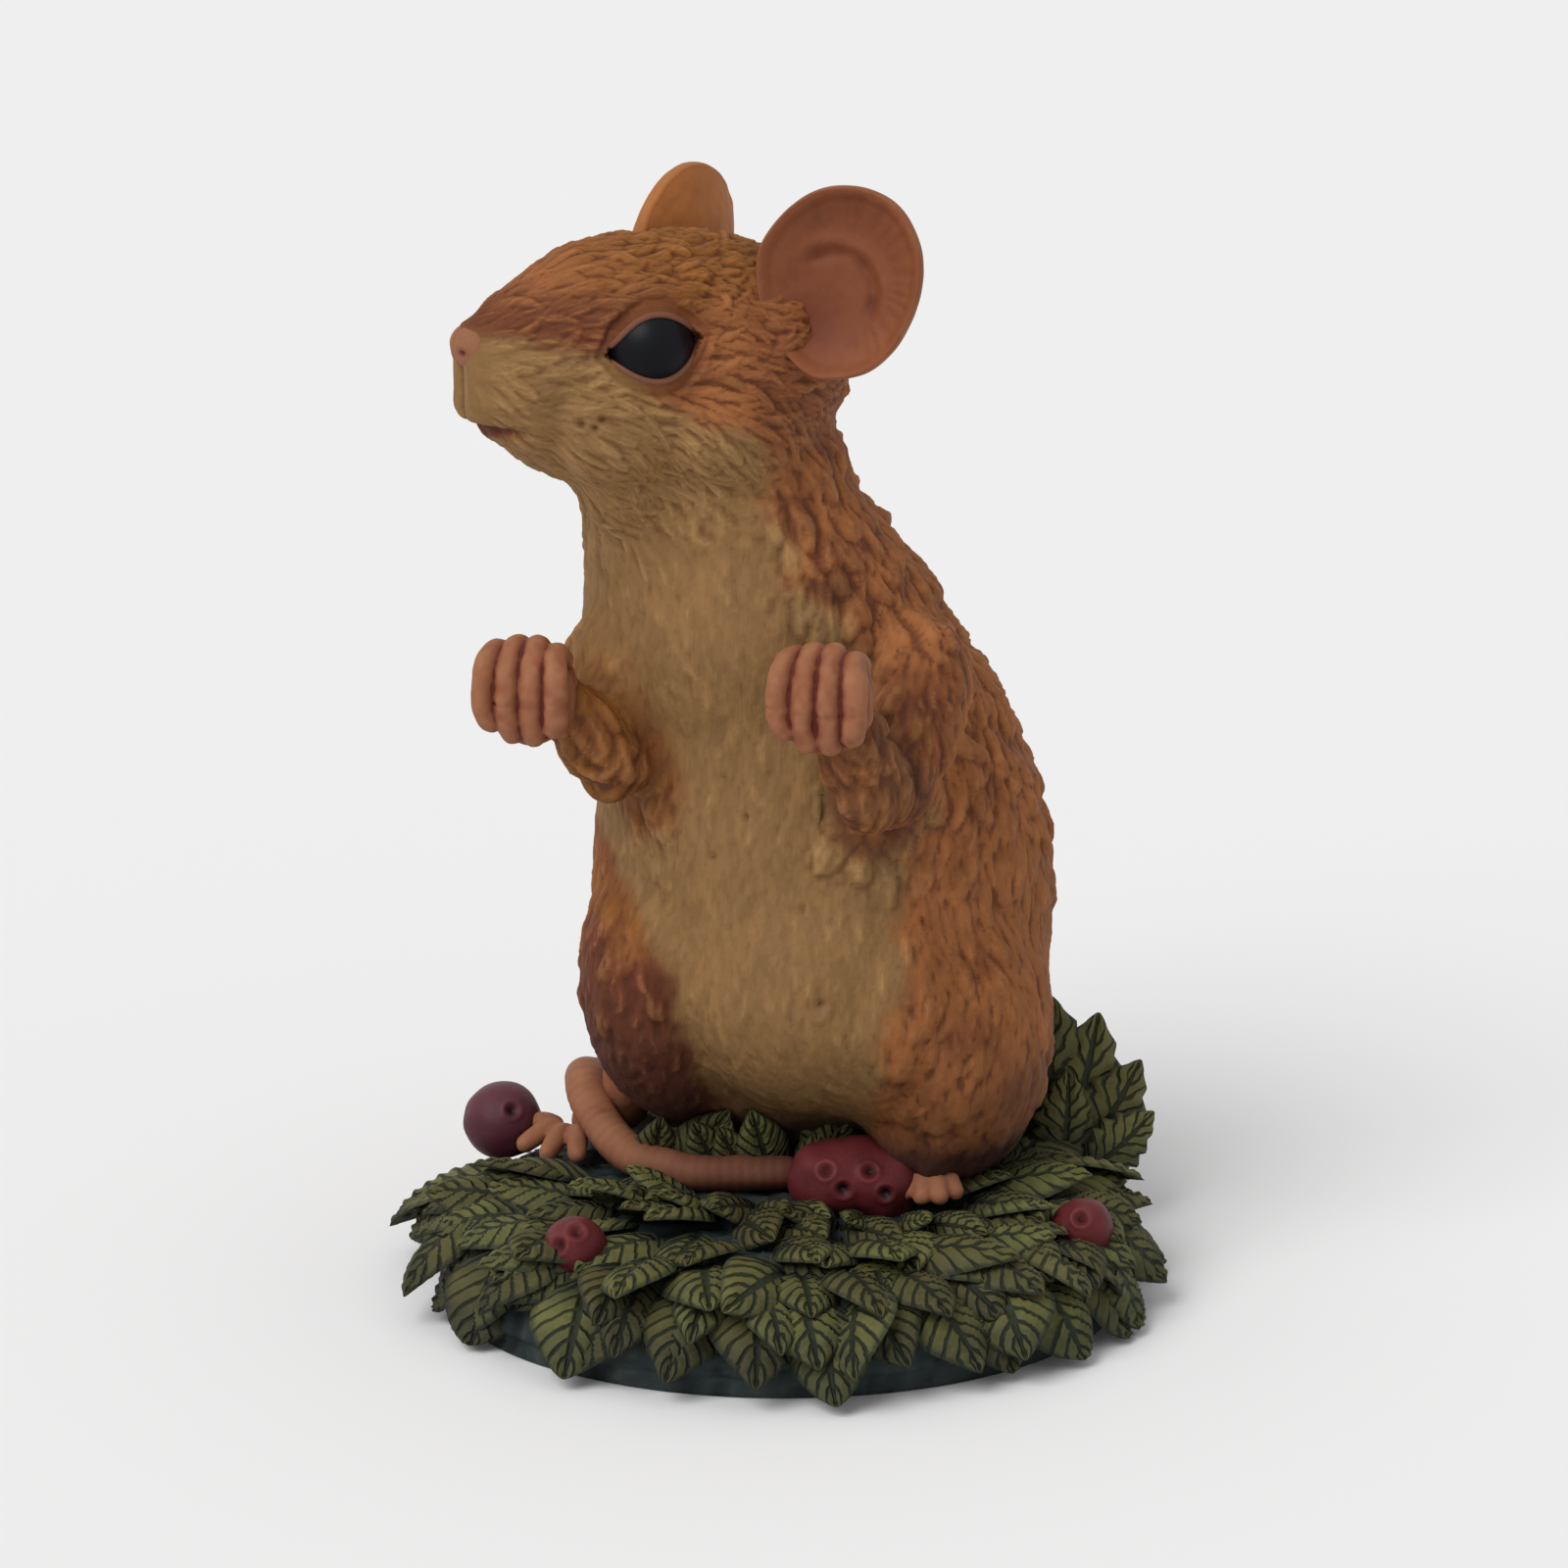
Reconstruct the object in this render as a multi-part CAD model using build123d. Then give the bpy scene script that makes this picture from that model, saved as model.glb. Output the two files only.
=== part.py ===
"""A painted cast resin mouse that sits up on an oval mound of leaves and berries, at its real size in mm.

The origin is the centre of the flat underside and +Z is up. The mouse is seen from the front along +Y:
its left side is towards +X, its body faces the viewer and a little to -X, and its head is turned to -X.
Smaller pieces are cut by the larger ones that they sit against, so they meet face to face.
"""

import math
import os

from build123d import *

# Mound under the leaves, a loaf with a flat foot, a round rim and a flat seat
MOUND_LENGTH = 60.0
MOUND_DEPTH = 53.0
MOUND_HEIGHT = 8.4
MOUND_FOOT = 1.9
FOOT_INSET = 0.5
RIM_RUN = 7.0
RIM_ANGLES_DEG = (0.0, 22.0, 44.0, 66.0, 90.0)

# Leaves, laid in three rings on the mound, each with its root in the mound and its tip lifted
LEAF_THICKNESS = 0.9
LEAF_SINK = 0.35
LEAF_ROOT_SHARE = 0.42
SKIRT_LEAF_LENGTH = 7.8
SKIRT_LEAF_WIDTH = 7.8
SKIRT_LEAF_BEND = 12.0
SKIRT_LEAF_LIFT_DEG = 12.0
SKIRT_LEAF_COUNT = 20
SKIRT_INSET = 3.2
SHOULDER_LEAF_LENGTH = 9.8
SHOULDER_LEAF_WIDTH = 8.0
SHOULDER_LEAF_BEND = 18.0
SHOULDER_LEAF_LIFT_DEG = 14.0
SHOULDER_LEAF_COUNT = 16
SHOULDER_INSET = 9.0
CROWN_LEAF_LENGTH = 9.6
CROWN_LEAF_WIDTH = 7.6
CROWN_LEAF_BEND = 18.0
CROWN_LEAF_LIFT_DEG = 26.0
CROWN_LEAF_COUNT = 12
CROWN_INSET = 14.6

# Sprig of upright leaves behind the mouse's left haunch
SPRIG_X = 23.6
SPRIG_Y = 10.2
SPRIG_FOOT = 5.6
SPRIG_LEAF_LENGTH = 16.4
SPRIG_LEAF_WIDTH = 7.4
SPRIG_LEAF_THICKNESS = 1.3
SPRIG_LEAF_TURNS_DEG = (-4.0, 16.0, 34.0)
SPRIG_LEAF_LENGTH_SHARES = (0.86, 1.0, 0.84)
SPRIG_LEAN_DEG = 10.0
SPRIG_STEP = 1.7

# Berries
BERRY_PIT = 0.75
BERRY_PIT_DEPTH = 0.35
FRONT_BERRY_RADIUS = 2.8
FRONT_BERRY_X = -17.6
FRONT_BERRY_Y = -14.8
FRONT_BERRY_Z = 8.8
BACK_BERRY_RADIUS = 3.5
BACK_BERRY_X = -25.2
BACK_BERRY_Y = 13.0
BACK_BERRY_Z = 10.6
SIDE_BERRY_RADIUS = 2.7
SIDE_BERRY_X = 25.4
SIDE_BERRY_Y = -8.6
SIDE_BERRY_Z = 8.3
CLUSTER_BERRY_RADIUS = 3.6
CLUSTER_X = 4.0
CLUSTER_Y = -4.0
CLUSTER_Z = 10.9
CLUSTER_STEP = 4.1

# Torso, on the mound's seat
TORSO_HEIGHT = 69.0
TORSO_HALF_WIDTH = 19.8
TORSO_HALF_DEPTH = 17.3
TORSO_X = 3.4
TORSO_Y = 9.0
TORSO_BITE = 0.6
# height, shift across, shift back, half width, half depth
TORSO_RING_SHARES = (
    (0.0, -0.02, 0.26, 0.62, 0.53),
    (0.06, -0.01, 0.18, 0.79, 0.69),
    (0.13, 0.0, 0.11, 0.92, 0.82),
    (0.245, 0.0, 0.04, 1.0, 0.96),
    (0.36, 0.0, 0.0, 1.01, 1.0),
    (0.475, -0.01, -0.04, 0.97, 0.95),
    (0.575, -0.06, -0.07, 0.91, 0.88),
    (0.67, -0.17, -0.1, 0.84, 0.81),
    (0.745, -0.3, -0.14, 0.755, 0.74),
    (0.83, -0.345, -0.18, 0.665, 0.67),
    (0.915, -0.43, -0.24, 0.58, 0.61),
    (1.0, -0.47, -0.22, 0.52, 0.54),
)
BELLY_X = 2.8
BELLY_Y = 1.6
BELLY_Z = 28.0
BELLY_HALF_WIDTH = 12.6
BELLY_HALF_DEPTH = 12.6
BELLY_HALF_HEIGHT = 13.6
CHEST_X = -2.4
CHEST_Y = 0.8
CHEST_Z = 57.5
CHEST_HALF_WIDTH = 11.6
CHEST_HALF_DEPTH = 8.8
CHEST_HALF_HEIGHT = 12.0

# Head, turned to the mouse's right
HEAD_TURN_DEG = 25.0
HEAD_X = -4.6
HEAD_Y = 3.6
HEAD_Z = 81.8
HEAD_LENGTH = 23.7
HEAD_HALF_WIDTH = 10.6
HEAD_HALF_HEIGHT = 10.2
# along the head, rise, half width, half height
HEAD_RING_SHARES = (
    (-0.385, -0.2, 0.16, 0.14),
    (-0.36, -0.2, 0.42, 0.38),
    (-0.27, -0.18, 0.72, 0.68),
    (-0.12, -0.12, 0.94, 0.88),
    (0.1, -0.06, 1.0, 0.98),
    (0.34, -0.04, 0.97, 1.0),
    (0.52, -0.02, 0.84, 0.94),
    (0.66, 0.0, 0.68, 0.86),
    (0.77, 0.02, 0.54, 0.72),
    (0.87, 0.06, 0.42, 0.54),
    (0.95, 0.05, 0.3, 0.4),
    (1.0, 0.04, 0.14, 0.2),
)
CHIN_ALONG_SHARE = 0.89
CHIN_DROP = 3.4
CHIN_HALF_LENGTH = 2.5
CHIN_HALF_WIDTH = 2.5
CHIN_HALF_HEIGHT = 1.9

# Nose and eyes
NOSE_HALF_LENGTH = 1.9
NOSE_HALF_WIDTH = 2.3
NOSE_HALF_HEIGHT = 2.1
NOSE_ALONG_SHARE = 0.96
NOSE_RISE = 1.3
EYE_RADIUS = 3.6
EYE_ALONG_SHARE = 0.43
EYE_RISE = 2.4
EYE_OUT_SHARE = 0.66
LID_THICKNESS = 0.6

# Ears, cupped discs
EAR_HALF_WIDTH = 7.0
EAR_HALF_HEIGHT = 8.2
EAR_THICKNESS = 1.3
EAR_CUP_RADIUS = 13.0
EAR_TURN_DEG = 50.0
EAR_LEAN_DEG = 8.0
EAR_ROLL_DEG = 10.0
LEFT_EAR_X = 5.2
LEFT_EAR_Y = -3.2
LEFT_EAR_Z = 88.2
RIGHT_EAR_X = -7.6
RIGHT_EAR_Y = 11.4
RIGHT_EAR_Z = 87.9
RIGHT_EAR_TURN_DEG = 52.0

# Arms and paws
BODY_TURN_DEG = 19.0
FOREARM_RADIUS = 3.1
WRIST_RADIUS = 2.5
UPPER_ARM_RADIUS = 4.4
LEFT_SHOULDER = (10.6, 0.4, 58.0)
LEFT_ELBOW = (7.8, -9.8, 44.8)
LEFT_WRIST = (4.2, -13.8, 58.0)
RIGHT_SHOULDER = (-13.4, 2.6, 59.6)
RIGHT_ELBOW = (-12.9, -3.2, 45.4)
RIGHT_WRIST = (-20.2, -5.6, 56.6)
FINGER_RADIUS = 1.2
FINGER_TIP_SHARE = 0.85
FINGER_PITCH = 2.15
FINGER_COUNT = 4
FINGER_DROP = 9.0
FINGER_REACH = 3.0
FINGER_DROP_SHARES = (1.0, 0.98, 0.9, 0.78)
PALM_RADIUS = 3.0

# Haunches and feet
HAUNCH_HALF_WIDTH = 8.6
HAUNCH_HALF_DEPTH = 11.0
HAUNCH_HALF_HEIGHT = 13.5
LEFT_HAUNCH_X = 14.7
LEFT_HAUNCH_Y = 1.6
LEFT_HAUNCH_Z = 22.9
RIGHT_HAUNCH_X = -9.2
RIGHT_HAUNCH_Y = 5.0
RIGHT_HAUNCH_Z = 27.0
HAUNCH_LEAN_DEG = 6.0
FOOT_HEIGHT = 3.0
FOOT_HALF_WIDTH = 3.1
FOOT_HALF_LENGTH = 6.5
TOE_RADIUS = 1.0
TOE_LENGTH = 5.2
TOE_COUNT = 4
TOE_SPREAD_DEG = 13.0
LEFT_FOOT_X = 14.4
LEFT_FOOT_Y = 1.2
LEFT_FOOT_TURN_DEG = 0.0
RIGHT_FOOT_X = -16.6
RIGHT_FOOT_Y = 11.6
RIGHT_FOOT_TURN_DEG = 24.0
SHANK_TOP_RADIUS = 2.6
SHANK_FOOT_RADIUS = 2.2
RIGHT_SHANK = ((-12.8, 7.0, 20.5), (-13.8, 9.8, 15.0), (-14.6, 12.2, 10.8))

# Tail, from the rump round the right ankle to the berries
TAIL_ROOT_RADIUS = 2.3
TAIL_TIP_RADIUS = 1.45
TAIL_PATH = (
    (-6.0, 24.5, 10.8),
    (-12.4, 22.2, 11.4),
    (-16.8, 17.4, 13.0),
    (-17.7, 12.4, 14.6),
    (-16.6, 7.8, 13.0),
    (-13.6, 3.4, 10.9),
    (-8.8, 0.4, 10.3),
    (-3.2, 0.2, 10.2),
    (1.6, 0.4, 10.2),
)

# Shared working values
DOME_ANGLES_DEG = (14.0, 38.0, 64.0)
UP = Vector(0, 0, 1)


def turned(degrees):
    """Unit vector in the ground plane, degrees from the viewer's direction (-Y) towards -X."""
    angle = math.radians(degrees)
    return Vector(-math.sin(angle), -math.cos(angle), 0)


def ellipsoid(half_x, half_y, half_z):
    """Unit sphere scaled to three half sizes."""
    return scale(Sphere(1), by=(half_x, half_y, half_z))


def placed(shape, origin, x_dir=(1, 0, 0), z_dir=(0, 0, 1)):
    """The shape moved from the origin's frame to a frame given by an origin and two directions."""
    return Plane(origin=Vector(*origin), x_dir=Vector(*x_dir), z_dir=Vector(*z_dir)).location * shape


def limb(points, start_radius, end_radius, domed_start=True):
    """A tapering round limb along a smooth path, with rounded ends: a loft through circles square to the path."""
    path = Spline(*[Vector(*p) for p in points])
    length = path.length
    spans = 3 * (len(points) - 1)
    stations = []
    if domed_start:
        for degrees in DOME_ANGLES_DEG:
            angle = math.radians(degrees)
            stations.append((start_radius * (1 - math.cos(angle)), start_radius * math.sin(angle)))
    first = start_radius if domed_start else 0.0
    last = length - end_radius
    for i in range(spans + 1):
        share = i / spans
        stations.append((first + share * (last - first), start_radius + share * (end_radius - start_radius)))
    for degrees in reversed(DOME_ANGLES_DEG):
        angle = math.radians(degrees)
        stations.append((length - end_radius * (1 - math.cos(angle)), end_radius * math.sin(angle)))
    sections = []
    for along, radius in stations:
        share = along / length
        tangent = path % share
        side = tangent.cross(UP)
        if side.length < math.sin(math.radians(DOME_ANGLES_DEG[0])):
            side = Vector(1, 0, 0)
        sections.append(Plane(origin=path @ share, x_dir=side, z_dir=tangent) * Circle(radius))
    return loft(sections)


def solid_parts(shape):
    """The solids of a boolean's result, as one shape to export."""
    solids = shape.solids()
    return solids[0] if len(solids) == 1 else Compound(children=list(solids))


def largest(shape):
    """The largest solid of a cut, without the slivers that a cut can leave on the far side."""
    return max(shape.solids(), key=lambda solid: solid.volume)


def reach(shape):
    """Lowest and highest X, Y and Z of a shape."""
    box = shape.bounding_box()
    return ((box.min.X, box.max.X), (box.min.Y, box.max.Y), (box.min.Z, box.max.Z))


def cut_by(shape, cutters):
    """The shape without what each nearby cutter fills; a cutter is a shape, or a shape with its known reach."""
    own = reach(shape)
    for cutter in cutters:
        solid, spans = cutter if isinstance(cutter, tuple) else (cutter, reach(cutter))
        if all(low < other_high and other_low < high for (low, high), (other_low, other_high) in zip(own, spans)):
            shape = shape - solid
    return shape


def rim(inset):
    """Height and outward slope in degrees of the mound's surface at an inset from its widest outline."""
    if inset >= RIM_RUN:
        return MOUND_HEIGHT, 0.0
    rise = MOUND_HEIGHT - MOUND_FOOT
    across = (RIM_RUN - inset) / RIM_RUN
    angle = math.acos(across)
    slope = math.degrees(math.atan2(math.cos(angle) / RIM_RUN, math.sin(angle) / rise))
    return MOUND_FOOT + rise * math.sin(angle), slope


def mound():
    """The loaf under the leaves: a loft through ovals up its round rim."""
    sections = [Ellipse(MOUND_LENGTH / 2 - FOOT_INSET, MOUND_DEPTH / 2 - FOOT_INSET)]
    for degrees in RIM_ANGLES_DEG:
        angle = math.radians(degrees)
        inset = RIM_RUN * (1 - math.cos(angle))
        height = MOUND_FOOT + (MOUND_HEIGHT - MOUND_FOOT) * math.sin(angle)
        sections.append(Plane(origin=(0, 0, height)) * Ellipse(MOUND_LENGTH / 2 - inset, MOUND_DEPTH / 2 - inset))
    return loft(sections)


def leaf_outline(length, width):
    """Flat leaf, root at the origin and tip along +Y: two arcs that meet in points."""
    right = ThreePointArc((0, 0), (width / 2, LEAF_ROOT_SHARE * length), (0, length))
    left = ThreePointArc((0, length), (-width / 2, LEAF_ROOT_SHARE * length), (0, 0))
    return make_face([right, left])


def bent_leaf(length, width, bend):
    """A leaf that droops from root to tip, cut out of a thin ball of the bend's radius."""
    skin = Sphere(bend + LEAF_THICKNESS) - Sphere(bend)
    prism = extrude(leaf_outline(length, width), amount=bend + LEAF_THICKNESS)
    return Location((0, 0, -bend)) * largest(prism & skin)


def under_body(point):
    """True where a point on the mound lies under the torso's widest ring, where no leaf shows."""
    across = (point.X - TORSO_X) / TORSO_HALF_WIDTH
    back = (point.Y - TORSO_Y) / TORSO_HALF_DEPTH
    return across**2 + back**2 < 1


def leaf_ring(length, width, bend, lift_deg, count, inset, cutters):
    """One ring of drooping leaves round the mound, cut by what they lie on."""
    leaf = bent_leaf(length, width, bend)
    height, slope = rim(inset)
    tilt = math.radians(slope - lift_deg)
    leaves = []
    for i in range(count):
        angle = 2 * math.pi * i / count
        half_length, half_depth = MOUND_LENGTH / 2 - inset, MOUND_DEPTH / 2 - inset
        root = Vector(half_length * math.cos(angle), half_depth * math.sin(angle), height - LEAF_SINK)
        if under_body(root):
            continue
        outward = Vector(half_depth * math.cos(angle), half_length * math.sin(angle), 0).normalized()
        normal = outward * math.sin(tilt) + UP * math.cos(tilt)
        across = Vector(outward.Y, -outward.X, 0)
        left_over = cut_by(placed(leaf, root, across, normal), cutters).solids()
        if left_over:
            leaves.append(max(left_over, key=lambda solid: solid.volume))
    return leaves


def sprig():
    """Upright leaves that fan out behind the haunch, one beside the other."""
    leaves = []
    for i, (turn, share) in enumerate(zip(SPRIG_LEAF_TURNS_DEG, SPRIG_LEAF_LENGTH_SHARES)):
        outline = leaf_outline(share * SPRIG_LEAF_LENGTH, SPRIG_LEAF_WIDTH)
        flat = extrude(outline, amount=SPRIG_LEAF_THICKNESS / 2, both=True)
        upright = Rotation(90 - SPRIG_LEAN_DEG, 0, 0) * (Rotation(0, 0, -turn) * flat)
        leaves.append(Location((SPRIG_X, SPRIG_Y + i * SPRIG_STEP, SPRIG_FOOT)) * upright)
    return leaves


def berry(radius, centre, pit_directions):
    """A round berry with a ringed pit where each dried flower was."""
    ball = Sphere(radius)
    for direction in pit_directions:
        middle = Vector(*direction).normalized() * (radius + BERRY_PIT - BERRY_PIT_DEPTH)
        ball = ball - Location(middle) * Sphere(BERRY_PIT)
    return Location(centre) * ball


def torso():
    """Loft through oval rings from the seat up to the neck, with the swell of the belly and of the chest."""
    base = MOUND_HEIGHT - TORSO_BITE
    sections = []
    for height, across, back, half_width, half_depth in TORSO_RING_SHARES:
        centre = (
            TORSO_X + across * TORSO_HALF_WIDTH,
            TORSO_Y + back * TORSO_HALF_DEPTH,
            base + height * TORSO_HEIGHT,
        )
        sections.append(Plane(origin=centre) * Ellipse(half_width * TORSO_HALF_WIDTH, half_depth * TORSO_HALF_DEPTH))
    swells = (
        ((BELLY_X, BELLY_Y, BELLY_Z), (BELLY_HALF_WIDTH, BELLY_HALF_DEPTH, BELLY_HALF_HEIGHT)),
        ((CHEST_X, CHEST_Y, CHEST_Z), (CHEST_HALF_WIDTH, CHEST_HALF_DEPTH, CHEST_HALF_HEIGHT)),
    )
    body = loft(sections)
    for centre, halves in swells:
        body = body + Location(centre) * ellipsoid(*halves)
    return body


def head_frame():
    """Forward and left directions of the turned head, and the middle of the skull."""
    forward = turned(90 - HEAD_TURN_DEG)
    left = Vector(-forward.Y, forward.X, 0)
    return forward, left, Vector(HEAD_X, HEAD_Y, HEAD_Z)


def head_point(along, out, rise):
    """A point given along the head, out to its left and up."""
    forward, left, middle = head_frame()
    return middle + forward * along + left * out + UP * rise


def skull():
    """Loft through oval rings from the nape to the muzzle, with a small chin."""
    forward, left, _ = head_frame()
    sections = []
    for along, rise, half_width, half_height in HEAD_RING_SHARES:
        centre = head_point(along * HEAD_LENGTH, 0, rise * HEAD_HALF_HEIGHT)
        ring = Ellipse(half_width * HEAD_HALF_WIDTH, half_height * HEAD_HALF_HEIGHT)
        sections.append(Plane(origin=centre, x_dir=left, z_dir=forward) * ring)
    chin_at = head_point(CHIN_ALONG_SHARE * HEAD_LENGTH, 0, -CHIN_DROP)
    chin = placed(ellipsoid(CHIN_HALF_LENGTH, CHIN_HALF_WIDTH, CHIN_HALF_HEIGHT), chin_at, forward)
    return loft(sections) + chin


def eye_place(side):
    """Centre of an eye, side 1 for the left and -1 for the right."""
    return head_point(EYE_ALONG_SHARE * HEAD_LENGTH, side * EYE_OUT_SHARE * HEAD_HALF_WIDTH, EYE_RISE)


def eye_lids(side):
    """The rim that holds an eye, a ring round the ball."""
    _, left, _ = head_frame()
    outward = left * side
    rim = Torus(EYE_RADIUS - LID_THICKNESS / 2, LID_THICKNESS)
    at = eye_place(side) + outward * (EYE_RADIUS * math.sin(math.radians(DOME_ANGLES_DEG[1])))
    return placed(rim, at, UP, outward)


def nose():
    """The nose pad at the tip of the muzzle."""
    forward, _, _ = head_frame()
    at = head_point(NOSE_ALONG_SHARE * HEAD_LENGTH, 0, NOSE_RISE)
    return placed(ellipsoid(NOSE_HALF_LENGTH, NOSE_HALF_WIDTH, NOSE_HALF_HEIGHT), at, forward)


def ear(side, centre, turn_deg):
    """A cupped disc: an oval cut out of a hollow ball, open forwards and outwards."""
    forward, left, _ = head_frame()
    turn = math.radians(turn_deg)
    lean = math.radians(EAR_LEAN_DEG)
    facing = (forward * math.cos(turn) + left * (side * math.sin(turn))) * math.cos(lean) + UP * math.sin(lean)
    across = UP.cross(facing).normalized()
    cup = Sphere(EAR_CUP_RADIUS + EAR_THICKNESS) - Sphere(EAR_CUP_RADIUS)
    cup = Location((0, 0, EAR_CUP_RADIUS)) * cup
    oval = extrude(Ellipse(EAR_HALF_WIDTH, EAR_HALF_HEIGHT), amount=EAR_CUP_RADIUS)
    oval = Location((0, 0, -2 * EAR_THICKNESS)) * oval
    dish = Rotation(0, 0, side * EAR_ROLL_DEG) * (cup & oval)
    return placed(dish, centre, across, facing)


def arm(shoulder, elbow, wrist):
    """Upper arm and forearm, joined at the elbow."""
    upper = limb((shoulder, elbow), UPPER_ARM_RADIUS, FOREARM_RADIUS)
    lower = limb((elbow, wrist), FOREARM_RADIUS, WRIST_RADIUS)
    return upper + lower


def paw(wrist):
    """A raised paw: a palm, and fingers that arch over and hang down side by side."""
    forward = turned(BODY_TURN_DEG)
    left = Vector(-forward.Y, forward.X, 0)
    top = Vector(*wrist)
    fingers = []
    for i in range(FINGER_COUNT):
        out = (i - (FINGER_COUNT - 1) / 2) * FINGER_PITCH
        drop = FINGER_DROP * FINGER_DROP_SHARES[i]
        start = top + left * out
        bend = start + forward * FINGER_REACH + UP * (PALM_RADIUS - FINGER_RADIUS)
        middle = start + forward * (FINGER_REACH + FINGER_RADIUS) - UP * (drop / 3)
        tip = start + forward * FINGER_REACH - UP * (drop - PALM_RADIUS)
        fingers.append(limb((start, bend, middle, tip), FINGER_RADIUS, FINGER_TIP_SHARE * FINGER_RADIUS))
    return Location(top) * Sphere(PALM_RADIUS) + fingers


def haunch(side, centre):
    """The folded hind leg, a tall rounded swelling beside the belly."""
    swelling = ellipsoid(HAUNCH_HALF_WIDTH, HAUNCH_HALF_DEPTH, HAUNCH_HALF_HEIGHT)
    leaning = Rotation(0, side * HAUNCH_LEAN_DEG, 0) * (Rotation(0, 0, -BODY_TURN_DEG) * swelling)
    return Location(centre) * leaning


def foot(place, turn_deg):
    """A hind foot: a long sole on the mound, and toes that spread in front."""
    forward = turned(BODY_TURN_DEG + turn_deg)
    centre = Vector(*place)
    toes = []
    for i in range(TOE_COUNT):
        step = i - (TOE_COUNT - 1) / 2
        along = turned(BODY_TURN_DEG + turn_deg - step * TOE_SPREAD_DEG)
        root = centre + along * (FOOT_HALF_LENGTH - TOE_LENGTH / 2) + UP * (FOOT_HEIGHT / 4)
        knuckle = root + along * (TOE_LENGTH / 2) + UP * (FOOT_HEIGHT / 4)
        tip = root + along * TOE_LENGTH - UP * (FOOT_HEIGHT / 4)
        toes.append(limb((root, knuckle, tip), TOE_RADIUS, FINGER_TIP_SHARE * TOE_RADIUS))
    return placed(ellipsoid(FOOT_HALF_LENGTH, FOOT_HALF_WIDTH, FOOT_HEIGHT), centre, forward) + toes


def build():
    """Every piece by its node name, each cut by the larger ones that it sits against."""
    plinth = mound()
    body = torso() - plinth
    left_eye, right_eye = (Location(eye_place(side)) * Sphere(EYE_RADIUS) for side in (1, -1))
    head = skull() + eye_lids(1) + eye_lids(-1) - body - left_eye - right_eye
    pieces = {"mound": plinth, "torso": body, "head": largest(head), "left_eye": left_eye, "right_eye": right_eye}
    pieces["nose"] = largest(nose() - head)

    left_ear_at = (LEFT_EAR_X, LEFT_EAR_Y, LEFT_EAR_Z)
    right_ear_at = (RIGHT_EAR_X, RIGHT_EAR_Y, RIGHT_EAR_Z)
    pieces["left_ear"] = largest(ear(1, left_ear_at, EAR_TURN_DEG) - head - body)
    pieces["right_ear"] = largest(ear(-1, right_ear_at, RIGHT_EAR_TURN_DEG) - head - body)

    seat = [plinth, body]
    left_haunch_at = (LEFT_HAUNCH_X, LEFT_HAUNCH_Y, LEFT_HAUNCH_Z)
    right_haunch_at = (RIGHT_HAUNCH_X, RIGHT_HAUNCH_Y, RIGHT_HAUNCH_Z)
    pieces["left_haunch"] = largest(cut_by(haunch(1, left_haunch_at), seat))
    pieces["right_haunch"] = largest(cut_by(haunch(-1, right_haunch_at), seat))

    haunches = [pieces["left_haunch"], pieces["right_haunch"]]
    cluster = []
    for i, pits in enumerate((((-1, -2, 1), (1, -2, 2)), ((0, -2, 2), (-2, -2, -1)))):
        centre = (CLUSTER_X + i * CLUSTER_STEP, CLUSTER_Y, CLUSTER_Z)
        ball = berry(CLUSTER_BERRY_RADIUS, centre, pits)
        cluster.append(largest(cut_by(ball, [*seat, pieces["left_haunch"], *cluster])))
    pieces["berry_cluster"] = Compound(children=cluster)

    foot_level = MOUND_HEIGHT + FOOT_HEIGHT / 2
    left_foot = foot((LEFT_FOOT_X, LEFT_FOOT_Y, foot_level), LEFT_FOOT_TURN_DEG)
    right_foot = foot((RIGHT_FOOT_X, RIGHT_FOOT_Y, foot_level), RIGHT_FOOT_TURN_DEG)
    right_foot = right_foot + limb(RIGHT_SHANK, SHANK_TOP_RADIUS, SHANK_FOOT_RADIUS)
    pieces["left_foot"] = largest(cut_by(left_foot, [*seat, pieces["left_haunch"], *cluster]))
    pieces["right_foot"] = largest(cut_by(right_foot, [*seat, pieces["right_haunch"]]))

    left_paw, right_paw = paw(LEFT_WRIST), paw(RIGHT_WRIST)
    pieces["left_paw"] = largest(left_paw - body)
    pieces["right_paw"] = largest(right_paw - body)
    left_arm = arm(LEFT_SHOULDER, LEFT_ELBOW, LEFT_WRIST)
    right_arm = arm(RIGHT_SHOULDER, RIGHT_ELBOW, RIGHT_WRIST)
    pieces["left_arm"] = largest(cut_by(left_arm, [body, left_paw, pieces["left_haunch"]]))
    pieces["right_arm"] = largest(cut_by(right_arm, [body, right_paw, pieces["right_haunch"]]))

    tail = limb(TAIL_PATH, TAIL_ROOT_RADIUS, TAIL_TIP_RADIUS)
    pieces["tail"] = largest(cut_by(tail, [plinth, body, pieces["right_haunch"], pieces["right_foot"], *cluster]))

    singles = {
        "front_berry": (FRONT_BERRY_RADIUS, (FRONT_BERRY_X, FRONT_BERRY_Y, FRONT_BERRY_Z), ((-1, -3, 1), (0, -2, 2))),
        "back_berry": (BACK_BERRY_RADIUS, (BACK_BERRY_X, BACK_BERRY_Y, BACK_BERRY_Z), ((1, -2, 2),)),
        "side_berry": (SIDE_BERRY_RADIUS, (SIDE_BERRY_X, SIDE_BERRY_Y, SIDE_BERRY_Z), ((0, -2, 2),)),
    }
    for name, (radius, centre, pits) in singles.items():
        pieces[name] = largest(berry(radius, centre, pits) - plinth)

    standing = [cut_by(leaf, [plinth, body, pieces["left_haunch"]]) for leaf in sprig()]
    kept = []
    for leaf in standing:
        kept.append(largest(cut_by(leaf, kept)))
    pieces["leaf_sprig"] = Compound(children=kept)

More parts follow.
